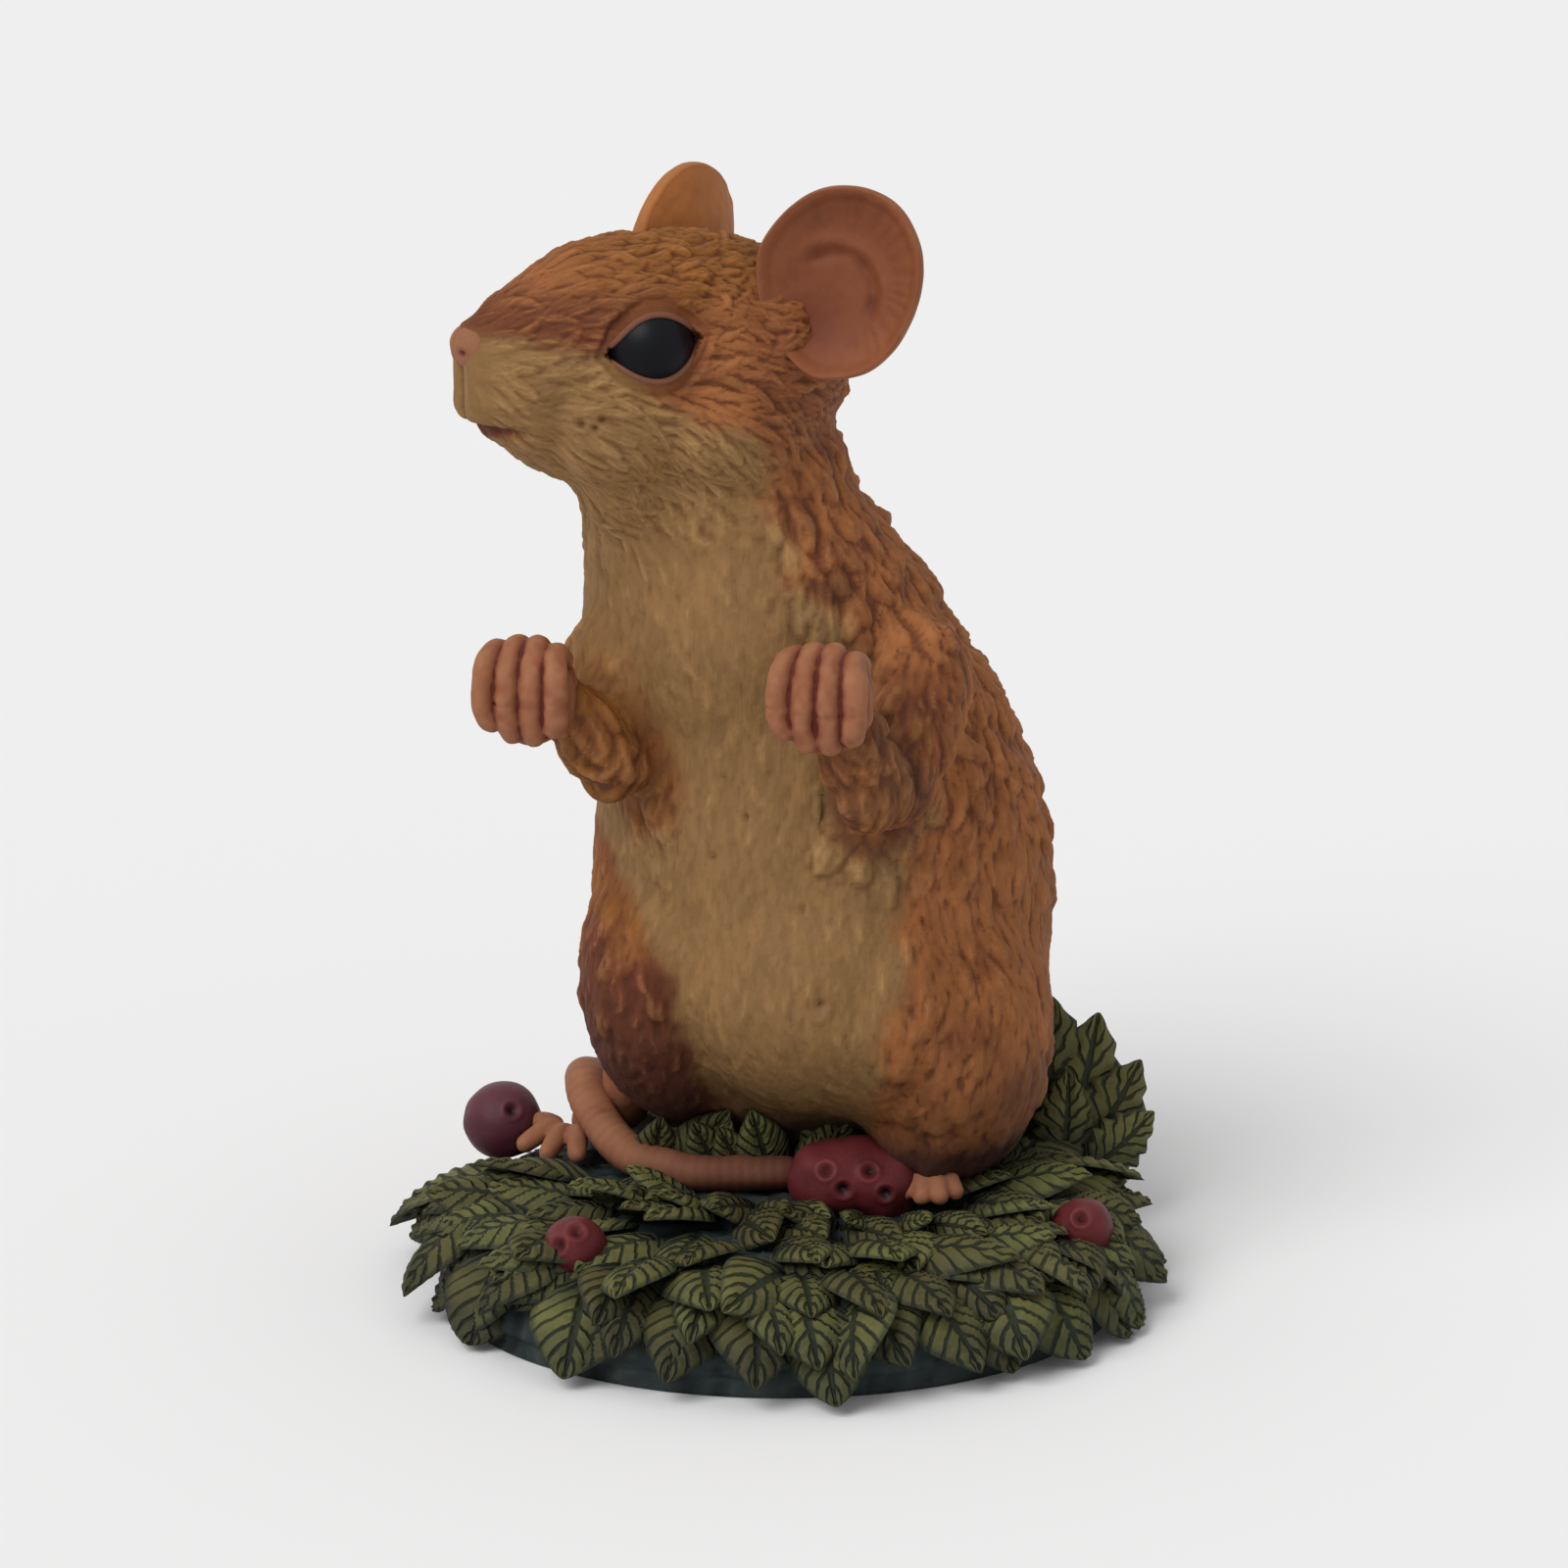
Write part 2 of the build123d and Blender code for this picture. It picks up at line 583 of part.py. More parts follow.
    in_the_way = [plinth, body, *haunches, pieces["left_foot"], pieces["right_foot"], pieces["tail"]]
    in_the_way += [*cluster, *kept, *(pieces[name] for name in singles)]
    in_the_way = [(shape, reach(shape)) for shape in in_the_way]
    pieces["leaf_skirt"] = Compound(
        children=leaf_ring(
            SKIRT_LEAF_LENGTH,
            SKIRT_LEAF_WIDTH,
            SKIRT_LEAF_BEND,
            SKIRT_LEAF_LIFT_DEG,
            SKIRT_LEAF_COUNT,
            SKIRT_INSET,
            in_the_way,
        )
    )
    pieces["leaf_shoulder"] = Compound(
        children=leaf_ring(
            SHOULDER_LEAF_LENGTH,
            SHOULDER_LEAF_WIDTH,
            SHOULDER_LEAF_BEND,
            SHOULDER_LEAF_LIFT_DEG,
            SHOULDER_LEAF_COUNT,
            SHOULDER_INSET,
            in_the_way,
        )
    )
    pieces["leaf_crown"] = Compound(
        children=leaf_ring(
            CROWN_LEAF_LENGTH,
            CROWN_LEAF_WIDTH,
            CROWN_LEAF_BEND,
            CROWN_LEAF_LIFT_DEG,
            CROWN_LEAF_COUNT,
            CROWN_INSET,
            in_the_way,
        )
    )
    return pieces


def main():
    """Writes one STEP file for each piece."""
    os.makedirs("parts", exist_ok=True)
    for name, shape in build().items():
        export_step(solid_parts(shape), f"parts/{name}.step")


main()
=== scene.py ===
"""Seated mouse figurine: the carved and hand-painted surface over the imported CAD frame.

Lengths are millimetres in the frame's axes until a mesh is made, where MM turns them into metres.
The viewer looks along +Y, +Z is up, and the mouse's left side is towards +X.
"""

import logging
import math
from collections.abc import Sequence
from dataclasses import dataclass, field
from enum import Enum
from functools import cache

import bpy
import numpy as np
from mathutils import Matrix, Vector


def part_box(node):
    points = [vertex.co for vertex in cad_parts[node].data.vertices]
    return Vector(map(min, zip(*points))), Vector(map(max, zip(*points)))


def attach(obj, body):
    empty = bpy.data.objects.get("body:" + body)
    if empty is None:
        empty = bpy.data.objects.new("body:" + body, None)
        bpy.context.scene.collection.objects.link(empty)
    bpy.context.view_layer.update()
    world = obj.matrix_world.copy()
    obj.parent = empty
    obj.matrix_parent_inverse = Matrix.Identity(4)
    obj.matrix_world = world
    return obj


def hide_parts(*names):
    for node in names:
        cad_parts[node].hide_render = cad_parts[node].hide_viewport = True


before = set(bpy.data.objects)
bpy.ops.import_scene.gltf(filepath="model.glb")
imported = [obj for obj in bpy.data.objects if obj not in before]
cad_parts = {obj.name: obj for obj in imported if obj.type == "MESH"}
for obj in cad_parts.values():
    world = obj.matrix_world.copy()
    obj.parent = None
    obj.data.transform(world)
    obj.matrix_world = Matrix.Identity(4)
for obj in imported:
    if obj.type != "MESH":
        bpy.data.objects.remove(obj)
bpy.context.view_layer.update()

LOG = logging.getLogger("figurine")
MM = 0.001
Array = np.ndarray
Material = bpy.types.Material
Piece = bpy.types.Object
Socket = bpy.types.NodeSocket
Tree = bpy.types.NodeTree
X_AXIS, Y_AXIS, UP = np.eye(3)

# Share of a leaf's length from one side vein to the next
VEIN_PITCH = 0.135
# Large odd numbers that scramble a lattice corner and a seed into a random word of 32 bits
SCRAMBLE = (374761393, 668265263, 2246822519, 3266489917)
SCRAMBLE_AGAIN = 1274126177
WORD = 0xFFFFFFFF


class Side(Enum):
    """The mouse's own left and right."""

    LEFT = 1
    RIGHT = -1

    @property
    def word(self) -> str:
        """The side as it is written in piece names."""
        return self.name.lower()


# Plain vector and curve helpers


def unit(vectors: Array) -> Array:
    """Vectors divided by their lengths."""
    length = np.linalg.norm(vectors, axis=-1, keepdims=True)
    return vectors / np.maximum(length, 1e-9)


def ease(low: float, high: float, value: Array) -> Array:
    """Smooth step: 0 below low, 1 above high, 3t^2 - 2t^3 between them."""
    t = np.clip((value - low) / (high - low), 0.0, 1.0)
    return t * t * (3.0 - 2.0 * t)


def lattice_noise(points: Array, size: float, seed: int) -> Array:
    """Soft lumps: random values at the corners of a lattice, blended across each cell.

    Args:
        points: Places, (n, 3).
        size: Edge of a lattice cell.
        seed: Picks another set of corner values.

    Returns:
        One value from -1 to 1 for each place.
    """
    scaled = points / size + 37.0
    corner = np.floor(scaled).astype(np.int64)
    share = scaled - corner
    share = share * share * (3.0 - 2.0 * share)
    total = np.zeros(len(points))
    for step in np.ndindex(2, 2, 2):
        x, y, z = (corner + step).T
        mixed = (x * SCRAMBLE[0] + y * SCRAMBLE[1] + z * SCRAMBLE[2] + seed * SCRAMBLE[3]) & WORD
        mixed = ((mixed ^ (mixed >> 13)) * SCRAMBLE_AGAIN) & WORD
        value = ((mixed ^ (mixed >> 16)) & 0xFFFF) / 32767.5 - 1.0
        near = np.where(step, share, 1 - share)
        total += near[:, 0] * near[:, 1] * near[:, 2] * value
    return total


def curve_through(points: Array, count: int) -> Array:
    """A smooth curve: on each span, the cubic whose slope at a point is half the chord of its neighbours.

    Args:
        points: Points or rows of numbers to pass through, (n, d).
        count: How many points to return, evenly spread over the spans.

    Returns:
        Points on the curve, (count, d).
    """
    points = np.asarray(points, dtype=float)
    padded = np.vstack([2 * points[0] - points[1], points, 2 * points[-1] - points[-2]])
    place = np.linspace(0, len(points) - 1, count)
    span = np.minimum(place.astype(int), len(points) - 2)
    t = (place - span)[:, None]
    a, b, c, d = (padded[span + k] for k in range(4))
    return b + 0.5 * t * (c - a + t * (2 * a - 5 * b + 4 * c - d + t * (3 * (b - c) + d - a)))


def by_length(curve: Array, places: Array) -> Array:
    """Points at given lengths along a dense polyline."""
    steps = np.linalg.norm(np.diff(curve, axis=0), axis=1)
    run = np.concatenate([[0.0], np.cumsum(steps)])
    return np.stack([np.interp(places, run, curve[:, k]) for k in range(3)], axis=1)


def turns(count: int) -> Array:
    """Angles spread evenly round a circle."""
    return np.linspace(0, 2 * math.pi, count, endpoint=False)


def bell(offset: Array, width: float) -> Array:
    """1 at no offset and less on both sides: exp(-(offset / width)^2)."""
    return np.exp(-((offset / width) ** 2))


def read_table(value: Array, table: Sequence) -> Array:
    """A number for each value, by straight lines between the rows of a table."""
    rows = np.array(table)
    return np.interp(value, rows[:, 0], rows[:, 1])


def path_gap(points: Array, path: Sequence, count: int = 12) -> Array:
    """How far each point is from the nearest of count places on a smooth path."""
    middle = curve_through(np.array(path, dtype=float), count)
    return np.min(np.linalg.norm(points[:, None, :] - middle[None], axis=2), axis=1)


def rolled(first: Array, second: Array, degrees: float) -> tuple[Array, Array]:
    """Two directions square to each other, turned in their plane from the first towards the second."""
    a = math.radians(degrees)
    return first * math.cos(a) + second * math.sin(a), second * math.cos(a) - first * math.sin(a)


def oval_gap(points: Array, middle: Sequence, halves: Sequence) -> Array:
    """Distance from the middle of an ellipsoid, where 1 is its surface."""
    return np.linalg.norm((points - np.array(middle)) / np.array(halves), axis=1)


def kept_above(height: Array, low: float, bend: float) -> Array:
    """Heights under bend eased towards low: low + r exp((height - bend) / r), with r = bend - low."""
    room = bend - low
    eased = low + room * np.exp((np.minimum(height, bend) - bend) / room)
    return np.where(height < bend, eased, height)


# Closed forms from grids of points


@dataclass
class Form:
    """A closed mesh as plain arrays: points in millimetres, four-sided and three-sided faces."""

    points: Array
    quads: Array
    tris: Array = field(default_factory=lambda: np.empty((0, 3), dtype=int))

    @staticmethod
    def joined(forms: list["Form"]) -> "Form":
        """Several forms in one set of arrays, not merged."""
        points, quads, tris, first = [], [], [], 0
        for form in forms:
            points.append(form.points)
            quads.append(form.quads + first)
            tris.append(form.tris + first)
            first += len(form.points)
        return Form(np.vstack(points), np.vstack(quads), np.vstack(tris))

    def outward(self) -> "Form":
        """The form with its faces turned outwards, told by the sign of its volume."""
        fans = np.vstack([self.quads[:, [0, 1, 2]], self.quads[:, [0, 2, 3]], self.tris])
        a, b, c = (self.points[fans[:, k]] for k in range(3))
        if np.einsum("ij,ij->", a, np.cross(b, c)) < 0:
            return Form(self.points, self.quads[:, ::-1], self.tris[:, ::-1])
        return self


def capped(rings: Array) -> Form:
    """Rings of points joined into a tube, with a pole point in the middle of the first and last ring.

    Args:
        rings: Points, (rings, points round, 3).

    Returns:
        A closed form with its faces outwards.
    """
    rows, columns, _ = rings.shape
    index = np.arange(rows * columns).reshape(rows, columns)
    after = np.roll(index, -1, axis=1)
    quads = np.stack([index[:-1], after[:-1], after[1:], index[1:]], axis=-1).reshape(-1, 4)
    start, end = rows * columns, rows * columns + 1
    first = np.stack([after[0], index[0], np.full(columns, start)], axis=1)
    last = np.stack([index[-1], after[-1], np.full(columns, end)], axis=1)
    points = np.vstack([rings.reshape(-1, 3), rings[0].mean(0), rings[-1].mean(0)])
    return Form(points, quads, np.vstack([first, last])).outward()


def oval_rings(
    centres: Array, across: Array, upward: Array, half_across: Array, half_up: Array, columns: int
) -> Array:
    """Ovals: centre + half_across cos(a) across + half_up sin(a) upward, for a all the way round.

    Args:
        centres: Middles, (rings, 3).
        across: A direction for all rings, or one for each.
        upward: The direction square to it.
        half_across: Half sizes along the first direction.
        half_up: Half sizes along the second direction.
        columns: Points round each oval.

    Returns:
        Rings of points, (rings, columns, 3).
    """
    angle = turns(columns)[None, :, None]
    return (
        centres[:, None, :]
        + half_across[:, None, None] * np.cos(angle) * across.reshape(-1, 1, 3)
        + half_up[:, None, None] * np.sin(angle) * upward.reshape(-1, 1, 3)
    )


def ellipsoid(centre: Sequence, axes: Sequence, halves: Sequence, columns: int = 40) -> Form:
    """An ellipsoid: ovals that shrink with the cosine of the latitude.

    Args:
        centre: Its middle.
        axes: Three directions square to each other.
        halves: Half sizes along them.
        columns: Points round it.

    Returns:
        A closed form.
    """
    latitude = np.linspace(-0.97, 0.97, columns // 2) * math.pi / 2
    centres = np.asarray(centre) + np.sin(latitude)[:, None] * halves[2] * axes[2]
    wide = np.cos(latitude)
    return capped(oval_rings(centres, axes[0], axes[1], wide * halves[0], wide * halves[1], columns))


def limb_rings(
    points: Array, radius_start: float, radius_end: float, columns: int, flat: float = 1.0
) -> Array:
    """A tapering limb with round ends: ovals square to a smooth path, half circles in profile at its ends.

    Args:
        points: Points of the path.
        radius_start: Radius near the start.
        radius_end: Radius near the end.
        columns: Points round the limb.
        flat: Thickness as a share of the width.

    Returns:
        Rings of points, (rings, columns, 3).
    """
    curve = curve_through(np.asarray(points, dtype=float), 160)
    length = np.linalg.norm(np.diff(curve, axis=0), axis=1).sum()
    dome = np.sin(np.linspace(0.12, math.pi / 2, 9))
    start = radius_start * (1 - np.sqrt(1 - dome**2))
    end = length - radius_end * (1 - np.sqrt(1 - dome[::-1] ** 2))
    middle = np.linspace(start[-1], end[0], 40)[1:-1]
    places = np.concatenate([start, middle, end])
    taper = radius_start + (radius_end - radius_start) * np.linspace(0, 1, len(middle))
    radii = np.concatenate([radius_start * dome, taper, radius_end * dome[::-1]])
    centres = by_length(curve, places)
    ahead = by_length(curve, np.minimum(places + 0.2, length))
    behind = by_length(curve, np.maximum(places - 0.2, 0.0))
    tangent = unit(ahead - behind)
    reference = UP if abs(tangent[:, 2]).mean() < 0.85 else np.array([0.3, -1.0, 0.0])
    side = unit(np.cross(tangent, reference))
    return oval_rings(centres, side, np.cross(side, tangent), radii, radii * flat, columns)


# Meshes and pieces


def new_mesh_object(
    name: str, form: Form, fields: dict[str, Array] | None = None, normals: Array | None = None
) -> Piece:
    """Puts arrays into a mesh object at the origin.

    Args:
        name: The piece's name.
        form: The arrays, in millimetres.
        fields: A number for each point, by attribute name.
        normals: A shading direction for each point, where its own faces don't tell it.

    Returns:
        The linked object.
    """
    mesh = bpy.data.meshes.new(name)
    quads, tris = len(form.quads), len(form.tris)
    mesh.vertices.add(len(form.points))
    mesh.vertices.foreach_set("co", (form.points * MM).astype(np.float32).ravel())
    mesh.loops.add(4 * quads + 3 * tris)
    corners = np.concatenate([form.quads.ravel(), form.tris.ravel()])
    mesh.loops.foreach_set("vertex_index", corners.astype(np.int32))
    mesh.polygons.add(quads + tris)
    starts = np.concatenate([np.arange(quads) * 4, 4 * quads + np.arange(tris) * 3]).astype(np.int32)
    mesh.polygons.foreach_set("loop_start", starts)
    mesh.polygons.foreach_set("use_smooth", np.ones(quads + tris, dtype=bool))
    mesh.update(calc_edges=True)
    if normals is not None:
        mesh.normals_split_custom_set_from_vertices(normals.astype(np.float32))
    for field_name, values in (fields or {}).items():
        attribute = mesh.attributes.new(field_name, "FLOAT", "POINT")
        attribute.data.foreach_set("value", np.asarray(values, dtype=np.float32))
    made = bpy.data.objects.new(name, mesh)
    bpy.context.scene.collection.objects.link(made)
    return made


def add_uv(made: Piece, along: Array, across: Array) -> None:
    """Gives a mesh a UV map from two numbers for each point."""
    mesh = made.data
    corners = np.empty(len(mesh.loops), dtype=np.int32)
    mesh.loops.foreach_get("vertex_index", corners)
    layer = mesh.uv_layers.new(name="shape")
    places = np.stack([along[corners], across[corners]], axis=1)
    layer.data.foreach_set("uv", places.astype(np.float32).ravel())


def finish_piece(
    made: Piece, material: Material, nodes: Sequence[str] = ()
) -> None:
    """Dresses a piece, puts it on the body and hides the nodes that it stands for.

    Args:
        made: The piece.
        material: Its finish.
        nodes: The frame's nodes that it replaces.
    """
    made.data.materials.clear()
    made.data.materials.append(material)
    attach(made, "root")
    if nodes:
        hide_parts(*nodes)
    LOG.info("%s: %d faces for %s", made.name, len(made.data.polygons), ", ".join(nodes) or "no node")


def voxel_edge(fine: float) -> float:
    return fine


@dataclass
class Sculpt:
    """A skin of small four-sided faces that can be relaxed and pushed like clay."""

    points: Array
    quads: Array
    edges: Array

    @staticmethod
    def from_forms(forms: list[Form], voxel: float) -> "Sculpt":
        """Closed forms melted into one skin of voxel faces.

        Args:
            forms: Closed forms that overlap.
            voxel: Edge of a voxel in millimetres.

        Returns:
            The skin as arrays.
        """
        rough = new_mesh_object("rough", Form.joined(forms))
        remesh = rough.modifiers.new("melt", "REMESH")
        remesh.mode = "VOXEL"
        remesh.voxel_size = voxel * MM
        view = rough.evaluated_get(bpy.context.evaluated_depsgraph_get())
        mesh = bpy.data.meshes.new_from_object(view)
        points = np.empty(len(mesh.vertices) * 3, dtype=np.float32)
        mesh.vertices.foreach_get("co", points)
        corners = np.empty(len(mesh.loops), dtype=np.int32)
        mesh.loops.foreach_get("vertex_index", corners)
        edges = np.empty(len(mesh.edges) * 2, dtype=np.int32)
        mesh.edges.foreach_get("vertices", edges)
        bpy.data.objects.remove(rough)
        bpy.data.meshes.remove(mesh)
        return Sculpt(points.reshape(-1, 3).astype(float) / MM, corners.reshape(-1, 4), edges.reshape(-1, 2))

    def neighbour_mean(self, values: Array) -> Array:
        """The mean of each point's neighbours, for rows of numbers."""
        a, b = self.edges[:, 0], self.edges[:, 1]
        size = len(self.points)
        count = np.bincount(a, minlength=size) + np.bincount(b, minlength=size)
        columns = []
        for k in range(values.shape[1]):
            total = np.bincount(a, values[b, k], size) + np.bincount(b, values[a, k], size)
            columns.append(total / np.maximum(count, 1))
        return np.stack(columns, axis=1)

    def relaxed(self, values: Array, steps: int, amount: float | Array = 0.5) -> Array:
        """Values moved towards their neighbours' mean, step by step."""
        for _ in range(steps):
            values = values + amount * (self.neighbour_mean(values) - values)
        return values

    def relax(self, steps: int, amount: float | Array = 0.5) -> None:
        """Softens the skin."""
        self.points = self.relaxed(self.points, steps, amount)

    def normals(self) -> Array:
        """Outward direction at each point: the sum of its faces' crossed diagonals."""
        a, b, c, d = (self.points[self.quads[:, k]] for k in range(4))
        face = np.cross(c - a, d - b)
        size = len(self.points)
        total = np.zeros((size, 3))
        for k in range(4):
            for axis in range(3):
                total[:, axis] += np.bincount(self.quads[:, k], face[:, axis], size)
        return unit(total)

    def relief(self, steps: int, reach: float) -> Array:
        """How far each point stands above its softened surroundings: 0 in a groove, 1 on a ridge."""
        soft = self.relaxed(self.points, steps)
        height = np.einsum("ij,ij->i", self.points - soft, self.normals())
        return np.clip(0.5 + height / (2 * reach), 0.0, 1.0)

    @staticmethod
    def edges_of(quads: Array, size: int) -> Array:
        """Each edge of the faces once, as pairs of point numbers."""
        start = quads.ravel().astype(np.int64)
        end = np.roll(quads, -1, axis=1).ravel().astype(np.int64)
        keys = np.unique(np.minimum(start, end) * size + np.maximum(start, end))
        return np.stack([keys // size, keys % size], axis=1)

    def part(self, keep: Array) -> tuple["Sculpt", Array]:
        """Some of the faces as a skin of their own.

        Args:
            keep: True for each face that belongs to the part.

        Returns:
            The part, and the old number of each of its points.
        """
        used, flat = np.unique(self.quads[keep], return_inverse=True)
        quads = flat.reshape(-1, 4)
        return Sculpt(self.points[used], quads, self.edges_of(quads, len(used))), used

    def open_edges(self) -> tuple[Array, Array]:
        """Start and end points of the edges that only one face has."""
        size = len(self.points)
        start = self.quads.ravel().astype(np.int64)
        end = np.roll(self.quads, -1, axis=1).ravel().astype(np.int64)
        lone = ~np.isin(end * size + start, start * size + end)
        return start[lone], end[lone]

    def divided(self, carried: Array) -> tuple["Sculpt", Array]:
        """Each face cut into four, with new points halfway along the edges and in the middle of the faces.

        Args:
            carried: Rows of numbers at the points.

        Returns:
            The finer skin, and the rows averaged for its points.
        """
        size, edge_count = len(self.points), len(self.edges)
        keys = self.edges[:, 0].astype(np.int64) * size + self.edges[:, 1]
        following = np.roll(self.quads, -1, axis=1).astype(np.int64)
        wanted = np.minimum(self.quads, following) * size + np.maximum(self.quads, following)
        halfway = size + np.searchsorted(keys, wanted)
        middle = size + edge_count + np.arange(len(self.quads))
        corners = [
            np.stack([self.quads[:, k], halfway[:, k], middle, halfway[:, k - 1]], axis=1) for k in range(4)
        ]
        quads = np.stack(corners, axis=1).reshape(-1, 4)

        def spread(rows: Array) -> Array:
            """Rows at the old points, the edges and the faces."""
            return np.vstack([rows, rows[self.edges].mean(1), rows[self.quads].mean(1)])

        points = spread(self.points)
        return Sculpt(points, quads, self.edges_of(quads, len(points))), spread(carried)

    def closed(self, outward: Array, depth: float) -> Form:
        """The skin closed: each open loop gets a fan to a point under its middle.

        Args:
            outward: Outward directions at the points.
            depth: How far below a flat loop the fan meets; the fan of a loop round a limb stays in its plane.

        Returns:
            The closed form.
        """
        a, b = self.open_edges()
        size = len(self.points)
        label = np.arange(size)
        while True:
            low = np.minimum(label[a], label[b])
            changed = label.copy()
            np.minimum.at(changed, a, low)
            np.minimum.at(changed, b, low)
            changed = changed[changed]
            if np.array_equal(changed, label):
                break
            label = changed
        names, loop = np.unique(label[a], return_inverse=True)
        if len(names) == 0:
            return Form(self.points, self.quads)
        count = np.bincount(loop)
        inner = self.points[a] - depth * outward[a]
        middle = np.stack([np.bincount(loop, inner[:, k]) / count for k in range(3)], axis=1)
        return Form(np.vstack([self.points, middle]), self.quads, np.stack([b, a, size + loop], axis=1))


# Fur


@dataclass(frozen=True)
class Tufts:
    """One kind of carved fur lock; room is the skin in square millimetres for each lock."""

    length: float
    width: float
    height: float
    room: float
    strands: float
    seed: int
    curl: float = 0.1
    stray: float = 0.16


@dataclass
class Locks:
    """Placed fur locks: where each starts, how it lies and how large it is."""

    kind: Tufts
    root: Array
    normal: Array
    along: Array
    side: Array
    length: Array
    width: Array
    height: Array
    tone: Array
    bend: Array

    @staticmethod
    def planted(
        points: Array, normals: Array, flow: Array, where: Array, room: float, kind: Tufts
    ) -> "Locks":
        """Chooses roots at random, as thick as the mask says.

        Args:
            points: Skin points, evenly spread.
            normals: Outward directions.
            flow: The hair's direction at each point, along the skin.
            where: From 0 to 1, how thick the locks stand at each point.
            room: Skin in square millimetres for each point.
            kind: The locks' sizes.

        Returns:
            The locks.
        """
        rng = np.random.default_rng(kind.seed)
        chosen = np.flatnonzero(rng.random(len(points)) < where * room / kind.room)
        count = len(chosen)
        turn = rng.normal(0, kind.stray, count)[:, None]
        side = unit(np.cross(normals[chosen], flow[chosen]))
        along = unit(flow[chosen] * np.cos(turn) + side * np.sin(turn))
        return Locks(
            kind,
            points[chosen],
            normals[chosen],
            along,
            np.cross(normals[chosen], along),
            kind.length * rng.uniform(0.7, 1.25, count),
            kind.width * rng.uniform(0.7, 1.25, count),
            kind.height * rng.uniform(0.45, 1.15, count) * (0.4 + 0.6 * where[chosen]),
            rng.uniform(-1, 1, count),
            rng.normal(0, kind.curl, count) / kind.length,
        )

    def carved(self, points: Array, normals: Array) -> tuple[Array, Array]:
        """Heights of the locks over a skin; they overlap like shingles.

        A lock's height grows from its root to near the tip and drops there. It falls off with the square
        of the distance across, and a cosine scores it into strands. A point takes the highest lock over it.

        Args:
            points: Skin points.
            normals: Outward directions.

        Returns:
            The height at each point, and the tone from -1 to 1 of the lock that covers it.
        """
        reach = self.kind.length * 0.68
        low, high = points.min(0) - 2 * reach, points.max(0) + 2 * reach
        live = np.flatnonzero(np.all((self.root > low) & (self.root < high), axis=1))
        batches = np.array_split(live, max(1, len(live) // 3000)) if len(live) else []
        found = []
        for part in batches:
            centre = self.root[part] + self.along[part] * (self.length[part] * 0.5)[:, None]
            near, point = near_pairs(points, centre, reach)
            lock = part[near]
            offset = points[point] - self.root[lock]
            u = np.einsum("ij,ij->i", offset, self.along[lock]) / self.length[lock]
            keep = (u > 0) & (u < 1)
            lock, point, offset, u = lock[keep], point[keep], offset[keep], u[keep]
            v = np.einsum("ij,ij->i", offset, self.side[lock])
            v = v + self.bend[lock] * (u * self.length[lock]) ** 2
            girth = self.width[lock] * 0.68 * np.sqrt((u + 0.08) * (1 - u**3))
            across = v / np.maximum(girth, 1e-6)
            agree = np.einsum("ij,ij->i", normals[point], self.normal[lock])
            keep = (np.abs(across) < 1) & (agree > 0.35)
            lock, point, u, across = lock[keep], point[keep], u[keep], across[keep]
            lift = ease(0.0, 0.7, u) * (1 - ease(0.86, 1.0, u) * 0.75)
            strand = 1 - 0.25 * (0.5 + 0.5 * np.cos(across * math.pi * self.kind.strands + lock))
            value = self.height[lock] * lift * (1 - across**2) ** 0.8 * strand
            found.append(np.stack([point, value, self.tone[lock]], axis=1))
        height, tone = np.zeros(len(points)), np.zeros(len(points))
        if found:
            rows = np.vstack(found)
            rows = rows[np.lexsort((rows[:, 1], rows[:, 0]))]
            last = np.flatnonzero(np.diff(rows[:, 0], append=-1))
            place = rows[last, 0].astype(int)
            height[place], tone[place] = rows[last, 1], rows[last, 2]
        return height, tone


def near_pairs(points: Array, centres: Array, radius: float) -> tuple[Array, Array]:
    """All pairs of a centre and a point in the same or a neighbouring cell of a grid with that edge.

    Args:
        points: Points, (n, 3).
        centres: Centres, (m, 3).
        radius: Edge of a cell.

    Returns:
        The centre's and the point's number of each pair.
    """
    low = np.minimum(points.min(0), centres.min(0)) - 2 * radius
    high = np.maximum(points.max(0), centres.max(0)) + 2 * radius
    shape = np.ceil((high - low) / radius).astype(np.int64) + 1
    step = np.array([1, shape[0], shape[0] * shape[1]])
    key = (np.floor((points - low) / radius).astype(np.int64) * step).sum(1)
    order = np.argsort(key, kind="stable")
    ranked = key[order]
    home = (np.floor((centres - low) / radius).astype(np.int64) * step).sum(1)
    pairs_centre, pairs_point = [], []
    offsets = np.array([(x, y, z) for x in (-1, 0, 1) for y in (-1, 0, 1) for z in (-1, 0, 1)])
    for offset in (offsets * step).sum(1):
        first = np.searchsorted(ranked, home + offset, "left")
        count = np.searchsorted(ranked, home + offset, "right") - first
        centre = np.repeat(np.arange(len(centres)), count)
        within = np.arange(count.sum()) - np.repeat(np.cumsum(count) - count, count)
        pairs_centre.append(centre)
        pairs_point.append(order[np.repeat(first, count) + within])
    return np.concatenate(pairs_centre), np.concatenate(pairs_point)


# Paint


def paint(red: float, green: float, blue: float) -> tuple[float, float, float, float]:
    """A colour as a printed swatch gives it, 0 to 255, turned into linear values."""
    seen = np.array([red, green, blue]) / 255.0
    linear = np.where(seen <= 0.04045, seen / 12.92, ((seen + 0.055) / 1.055) ** 2.4)
    return (*[float(value) for value in linear], 1.0)


